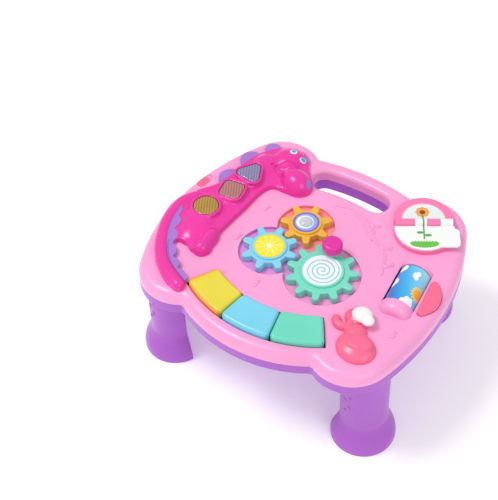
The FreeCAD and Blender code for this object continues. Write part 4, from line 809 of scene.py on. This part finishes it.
def lens_outline(centre, sides, radius, corner, turn, outset):
    """Outline of one lens let out by an outset: a circle, or a polygon with round corners. Metres."""
    if sides == 0:
        return ellipse(*centre, radius + outset, radius + outset, 0, ROUND_STEPS)
    points = []
    for i in range(sides):
        middle = turn + i * 360 / sides
        x = centre[0] + radius * math.cos(math.radians(middle))
        y = centre[1] + radius * math.sin(math.radians(middle))
        for k in range(CORNER_STEPS):
            a = math.radians(middle + (k / (CORNER_STEPS - 1) - 0.5) * 360 / sides)
            points.append((x + (corner + outset) * math.cos(a), y + (corner + outset) * math.sin(a)))
    return metres(points)


# %% Dinosaur skin
DINO_OUTLINE = metres([
    (-86, -116), (-93, -121), (-107, -118), (-125.5, -105.5), (-141, -89.5), (-153, -69), (-162, -45),
    (-165, -21.5), (-161, -4), (-150, 14), (-137, 32), (-131, 52), (-128, 75), (-120, 100), (-104, 120),
    (-84, 129), (-68, 124), (-58, 108), (-46, 95), (-39, 82), (-46, 69), (-62, 63), (-80, 61), (-87, 45),
    (-89, 19), (-92, -5), (-94, -30), (-93, -50), (-98, -63), (-107, -67), (-116, -62), (-124, -60),
    (-134, -69), (-124, -86), (-107, -99), (-89, -108)])
# Place, half lengths, height and turn of hip, belly, chest, shoulder, neck, head, snout, foot and thigh
DINO_LUMPS = [
    (-125, -26, 23, 37, 12.5, 12), (-125, -6, 24, 26, 12.6, 0), (-114, 26, 21, 26, 12.4, 10),
    (-109, 62, 19, 26, 12.4, 0), (-103, 88, 20, 20, 12.6, 0), (-84, 108, 22, 21, 15, 30),
    (-59, 81, 22, 18, 20, -20), (-99, -57, 11, 12, 13.5, 0), (-99, -43, 9.5, 18, 13, 4)]
TAIL = [(-146, 6), (-155, -8), (-157, -23), (-154.5, -44), (-147.5, -63), (-138, -80), (-126.5, -94.5),
        (-113, -105), (-100, -112), (-92, -115)]
PLATE_TOP = PLAY + 0.0065
TAIL_RADIUS = 0.0082
TAIL_LIFT = 0.0022
RIM_RADIUS = 0.0019
RIM_LEVEL = PLAY + 0.0114
plate = prism_piece("plate", smooth_loop(DINO_OUTLINE, 4), PLAY - 0.008, PLATE_TOP)
rims = []
for values in LENSES:
    path = [(x, y, RIM_LEVEL) for x, y in lens_outline(*values, RIM_RADIUS * 1000)]
    rims.append(tube("rim", path, RIM_RADIUS, cyclic=True))
tail = tube("tail", [(x, y, PLAY + TAIL_LIFT) for x, y in smooth_run(metres(TAIL))], TAIL_RADIUS)
tail_end = lump(*TAIL[-1], 8.0, 8.0, 8.0, 0, TAIL_LIFT * 1000)
lumps = [lump(*values) for values in DINO_LUMPS]
skin = press_together("dinosaur_skin", [plate, tail, tail_end] + rims + lumps, 0.0013, 8)
print("dinosaur skin", triangles(skin), "triangles")

# %% [markdown]
# The mouth line and the fold over the snout are grooves. Each is cut with a thin round rail laid along
# the skin. The crest of the tail and the spots on the head are separate purple pieces that stand a
# little proud, as parts of another colour do.

# %% Mouth and snout grooves
def groove(piece, points, radius, sink):
    """Cut a round groove along points, to a depth of sink."""
    top = surface(piece)
    path = []
    for x, y in smooth_run(metres(points)):
        hit = top(x, y)[0]
        if hit and hit.z > PLAY + 0.002:
            path.append((x, y, hit.z + radius - sink))
    return carve(piece, tube("groove", path, radius))


groove(skin, [(-96, 87.7), (-87.3, 84.6), (-78, 78.5), (-70, 72.5), (-64, 66)], 0.0021, 0.0019)
groove(skin, [(-90, 86), (-86.5, 92.6), (-79.5, 98.5), (-70, 99.5), (-62, 97)], 0.0019, 0.0013)
print("grooves cut,", triangles(skin), "triangles")

# %% Tail crest and spots
CREST = [(-152, -18), (-151.2, -31), (-148.5, -44.4), (-143.5, -58.7), (-136.3, -71.7), (-128, -83.5),
         (-120.5, -91.5), (-111.1, -97.9), (-100.4, -103.2), (-89.2, -108.6), (-87.5, -105.5),
         (-92, -99.8), (-98, -97), (-104.8, -97.2), (-106, -90.8), (-111.5, -86.5), (-118.4, -86),
         (-119, -78.5), (-123.8, -72), (-130.4, -69.5), (-129.8, -61.5), (-133, -54.5), (-139.6, -50.5),
         (-138.4, -43), (-140.4, -36.5), (-146.4, -32.5), (-147, -25), (-150.2, -19.5)]
CREST_TOP = PLAY + 0.0062
CREST_PROUD = 0.0006
SPOT_PROUD = 0.0003
HEAD_SPOTS = [(-41.5, 81, 2.8, 6.2, 8), (-64.5, 95.5, 3.6, 2.8, -20), (-66.5, 119.5, 2.6, 5.5, 28)]
crest_line = smooth_loop(metres(CREST), 3)
crest_base = prism_piece("crest_base", crest_line, PLAY - 0.001, CREST_TOP)
crest = inlay("tail_crest", skin, crest_line, CREST_PROUD)
carve(crest, crest_base, "UNION")
settle(crest, "case", crest_purple)
for number, values in enumerate(HEAD_SPOTS):
    spot = inlay("head_spot_%d" % (number + 1), skin, ellipse(*values), SPOT_PROUD)
    settle(spot, "case", crest_purple)

# %% Eyes set into the skin
EYE_TURN = math.radians(20)
EYE_SINK = 0.0003
EYE_HEIGHT = 1.3


def eye_button(x, y, half_x, half_y):
    """Low dome laid on the skin along its slope."""
    hit, normal = surface(skin)(x / 1000, y / 1000)
    slope = normal.to_track_quat("Z", "Y").to_matrix() @ Matrix.Rotation(EYE_TURN, 3, "Z")
    return ball(hit - normal * EYE_SINK, slope.to_euler(), (half_x, half_y, EYE_HEIGHT), 40, 24)


eye_pair = join_pieces("eye_pair", [eye_button(-82.2, 115, 4.6, 4.2), eye_button(-67.7, 112, 3.9, 4.6)])
settle(eye_pair, "case", eyes)
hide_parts("dinosaur_eyes")

# %% Lens seats
for values in LENSES:
    carve(skin, prism_piece("lens_seat", lens_outline(*values, 0.45), PLAY + 0.001, PLAY + 0.03))
settle(skin, "case", dinosaur_magenta)
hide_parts("dinosaur_cover")
print("three lens seats cut,", triangles(skin), "triangles")

# %% [markdown]
# ## Elephant
# The elephant is one soft coral form: a round body with an oval pad on its haunch, a neck, a head and a
# trunk that curls up on itself. It is pressed together from lumps like the dinosaur.

# %% Elephant skin
CURL = (87.46, -66.0)
CURL_RADIUS = 8.5
CURL_STEPS = 14
TRUNK_RADIUS = 0.0052
TRUNK_LIFT = 2.2
curl = []
for i in range(CURL_STEPS + 1):
    a = math.radians(198 + 175 * i / CURL_STEPS)
    curl.append((CURL[0] + CURL_RADIUS * math.cos(a), CURL[1] + CURL_RADIUS * math.sin(a)))
trunk = tube("trunk", [(x, y, PLAY + TRUNK_LIFT / 1000) for x, y in metres(curl)], TRUNK_RADIUS)
tip = lump(*curl[0], 5.4, 5.4, 5.4, 0, TRUNK_LIFT)
pad = prism_piece("pad", ellipse(118.6, -90.3, 13.6, 8.6, 8, 40), PLAY, PLAY + 0.0128)
elephant = press_together("elephant_skin", [
    lump(115.5, -91, 23, 20, 11, -15), lump(99, -57, 16, 12.5, 9.4, -15), lump(106, -74, 12, 13, 9.5),
    pad, trunk, tip], 0.0009, 6)
settle(elephant, "case", coral)
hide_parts("elephant_body")
print("elephant skin", triangles(elephant), "triangles")

# %% [markdown]
# The ear is a flap of its own that rocks on a pin, so it is a second piece. Three lumps give its lobes.

# %% Ear
ear = press_together("ear_skin", [
    lump(103.6, -55.2, 11.4, 10.4, 6.4, 0, 9.6), lump(112.4, -59.2, 7.2, 7.2, 4.8, 0, 9.6),
    lump(98.6, -56, 6.6, 6.6, 6.6, 0, 9.8)], 0.0007, 5, PLAY + 0.0094)
settle(ear, "elephant_ear", soft_white)
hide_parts("elephant_ear")
print("ear skin", triangles(ear), "triangles")

# %% [markdown]
# ## Raised trim on the play surface
# Stave lines swing round the gears, with a few notes and dots. They are part of the pink moulding and
# stand about a millimetre proud, so they read by their highlights and shadows alone.

# %% Staves, notes and dots
RAIL_RADIUS = 0.0012


def rail(points):
    """Half-sunk round rail on the play surface."""
    return tube("rail", [(x, y, PLAY) for x, y in smooth_run(metres(points))], RAIL_RADIUS)


def note(x, y, turn=0.0, size=1.0):
    """Note head, stem and flag."""
    c, s = math.cos(math.radians(turn)), math.sin(math.radians(turn))

    def at(u, v):
        return (x + size * (u * c - v * s), y + size * (u * s + v * c))
    head = lump(x, y, 3.6 * size, 2.7 * size, 1.7, turn + 20)
    stem = rail([at(2.9, 0.6), at(2.9, 5.0), at(2.9, 10.0)])
    return [head, stem, rail([at(2.9, 10.0), at(5.2, 7.8), at(5.6, 5.2)])]


trim = [rail([(-2.6, 76.4), (9.4, 79.3), (22.1, 80.6), (36, 74.4), (49.1, 63.8), (60.1, 54.3),
              (66.4, 48.1), (74.8, 43.2), (82.8, 36.3), (86.9, 23.2), (92, 11)]),
        rail([(16.2, 83.3), (30.3, 79.2), (40.2, 74.8), (49.7, 68.2), (55.7, 59.7)]),
        rail([(20.5, 76.4), (31, 71.8), (41, 64.2), (50, 56.2), (58.4, 49.6)])]
trim += note(74, 46, -35) + note(89, 24, -20, 0.9) + note(-22, -72, 20) + note(-76, -24, 10, 0.9)
trim += note(141, -58, 25, 0.8) + note(48, 70, -40, 0.9) + note(-70, 30, 15, 0.8)
for x, y, radius in ((-60, -72, 1.6), (66, 62, 1.5), (-8, 88, 1.5), (-78, -8, 1.3), (12, 70, 1.3),
                     (146, -44, 1.4), (-148, 44, 1.5), (-142, 66, 1.3)):
    trim.append(lump(x, y, radius, radius, 1.0))
stave_trim = join_pieces("stave_trim", trim)
settle(stave_trim, "case", shell_pink)
print("raised trim of", len(trim), "parts,", triangles(stave_trim), "triangles")

# %% [markdown]
# Each leg's column carries a few raised spots and drops. A ray shot at the column from outside finds the
# place and the slope for each one, so that it lies on the round wall.

# %% Raised pattern on the legs
def on_leg(leg, angle, height):
    """Place and outward direction on a leg's column, seen from outside at an angle."""
    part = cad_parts[leg]
    tree = BVHTree.FromObject(part, bpy.context.evaluated_depsgraph_get())
    corners = [part.matrix_world @ Vector(corner) for corner in part.bound_box]
    middle = sum(corners, Vector()) / 8
    outward = Vector((math.cos(math.radians(angle)), math.sin(math.radians(angle)), 0))
    start = Vector((middle.x, middle.y, height)) + outward * 0.2
    return tree.ray_cast(start, -outward)[:2]


# Turn in degrees, height over the floor in metres, half width and half length in millimetres
LEG_SPOTS = ((-8, 0.080, 2.0, 4.6), (-2, 0.098, 1.9, 1.9), (-14, 0.101, 1.7, 1.7),
             (-7, 0.062, 1.8, 1.8), (5, 0.070, 1.8, 4.2), (9, 0.089, 1.8, 1.8))
for leg, facing in (("leg_front_right", -112), ("leg_front_left", -112), ("leg_rear_right", -20),
                    ("leg_rear_left", 150)):
    spots = []
    for turn, height, half_x, half_y in LEG_SPOTS:
        hit, normal = on_leg(leg, facing + turn, height)
        slope = normal.to_track_quat("Z", "Y").to_euler()
        spots.append(ball(hit, slope, (half_x, half_y, 1.0), 20, 12))
    pattern = join_pieces(leg + "_pattern", spots)
    settle(pattern, leg, tray_purple)
print("raised pattern on four legs")

# %% [markdown]
# ## Painted glow in the wells
# Light that falls on bright plastic colours what lies beside it: the floor of the yellow gear's well and
# the edge behind the yellow key look coral, the blue gear's well looks violet. On the shell that
# coloured light is painted, as a slow change of the shell's colour below the play surface. The yellow
# key gets a painted amber border of glow and shade along its edges.

# %% Painted amber glow and shade along the yellow key's edges
KEY_END_ANGLE = -2.100
KEY_INNER, KEY_OUTER = 0.1262, 0.1612
key_with_painted_edge_glow, tree, shader, coords = new_material("key yellow with painted amber edge glow")
radius, angle = around(tree, coords, KEYS)
end_band = within(tree, angle, KEY_END_ANGLE, 0.016)
inner_band = within(tree, radius, KEY_INNER, 0.0016)
outer_band = step(tree, radius, KEY_OUTER, 0.0018)
# Painted glow and shade: the key's end and both curved edges are mixed towards amber, not printed.
painted_edge_glow = sums(tree, "MAXIMUM", end_band, sums(tree, "MAXIMUM", inner_band, outer_band))
painted_glow = sums(tree, "MULTIPLY", painted_edge_glow, 0.75)
paint(tree, shader, blend_colours(tree, painted_glow, drift(tree, coords, linear(KEY_TONE)), linear("#F58A34")))
surface_detail(tree, shader, coords, 0.24)
dress("key_yellow", key_with_painted_edge_glow)

# %% Shell with painted glow in the wells
OPENING_RADIUS = 0.1662
# Centre, reach, painted glow colour and strength
PAINTED_GLOWS = ((YELLOW, 0.0385, "#FF9484", 0.75), (BLUE, 0.0425, "#DC86DE", 0.6),
         ((-0.062, -0.098), 0.045, "#FF6E4C", 0.9), ((0.010, -0.125), 0.040, "#B884E4", 0.5))
shell_with_painted_glow, tree, shader, coords = new_material("shell pink with painted glow in the wells")
split = node(tree, "ShaderNodeSeparateXYZ", (-1300, 0))
tree.links.new(coords, split.inputs[0])
sunk = within(tree, split.outputs[2], PLAY - 0.0012, 0.0008)
colour = drift(tree, coords, linear(SHELL_TONE))
in_opening = within(tree, around(tree, coords, KEYS)[0], OPENING_RADIUS, 0.0004)
# Each entry paints reflected light from a bright neighbour onto the sunk shell faces near it.
for centre, reach, painted_glow, strength in PAINTED_GLOWS:
    near = within(tree, around(tree, coords, centre)[0], reach, 0.003)
    inside = sums(tree, "MULTIPLY", near, in_opening)
    mask = sums(tree, "MULTIPLY", sums(tree, "MULTIPLY", inside, sunk), strength)
    colour = blend_colours(tree, mask, colour, linear(painted_glow))
paint(tree, shader, colour)
surface_detail(tree, shader, coords)
dress("top_shell", shell_with_painted_glow)

# %% [markdown]
# ## Camera, floor and light
# The camera stands where the photograph was taken from: a little to the right, looking down at 49
# degrees, 1.45 m from the middle of the play surface. The floor is plain and pale. A large soft lamp
# over the left shoulder gives the modelling, and a weaker one opposite opens the shadows.

# %% Camera
AZIMUTH = math.radians(30.40)
ELEVATION = math.radians(49.06)
DISTANCE = 1.4503
SENSOR = 36
# In pixels: the longer side, the middle, where the aim falls, and the focal length
LONG_SIDE, MIDDLE, AIM, FOCAL = 500, (249, 250), (304.6, 249.8), 1299.0
back = Vector((math.sin(AZIMUTH) * math.cos(ELEVATION), -math.cos(AZIMUTH) * math.cos(ELEVATION),
               math.sin(ELEVATION)))
right = Vector((math.cos(AZIMUTH), math.sin(AZIMUTH), 0))
up = back.cross(right)
fresh()
bpy.ops.object.camera_add(location=Vector((0, 0, PLAY)) + back * DISTANCE)
camera = bpy.context.object
camera.rotation_euler = Matrix((right, up, back)).transposed().to_euler()
camera.data.lens = FOCAL * SENSOR / LONG_SIDE
camera.data.shift_x = (MIDDLE[0] - AIM[0]) / LONG_SIDE
camera.data.shift_y = (AIM[1] - MIDDLE[1]) / LONG_SIDE
bpy.context.scene.camera = camera
print("camera at", [round(v, 3) for v in camera.location], "lens", round(camera.data.lens, 2))

# %% Floor
fresh()
bpy.ops.mesh.primitive_plane_add(size=9, location=(0, 0, 0))
floor = named("floor")
floor_paint, tree, shader, coords = new_material("pale floor")
shader.inputs["Base Color"].default_value = (0.94, 0.94, 0.94, 1)
shader.inputs["Emission Color"].default_value = (1, 1, 1, 1)
shader.inputs["Emission Strength"].default_value = 0.22
shader.inputs["Roughness"].default_value = 0.9
shader.inputs["Specular IOR Level"].default_value = 0.1
floor.data.materials.append(floor_paint)

# %% Lamps and world
def lamp(name, place, aim, size, power):
    """Round soft lamp that points at a place."""
    fresh()
    bpy.ops.object.light_add(type="AREA", location=place)
    light = bpy.context.object
    light.name = name
    light.data.shape = "DISK"
    light.data.size = size
    light.data.energy = power
    light.rotation_euler = (Vector(aim) - Vector(place)).to_track_quat("-Z", "Y").to_euler()


lamp("key lamp", (-1.7, -0.9, 3.6), (0, 0, 0.15), 1.5, 72)
lamp("fill lamp", (2.2, -1.0, 2.2), (0, 0, 0.12), 1.8, 18)
world = bpy.data.worlds.new("soft studio")
bpy.context.scene.world = world
world.use_nodes = True
sky = world.node_tree.nodes["Background"]
sky.inputs["Color"].default_value = (1, 1, 1, 1)
sky.inputs["Strength"].default_value = 0.60
bpy.context.scene.view_settings.view_transform = "Standard"
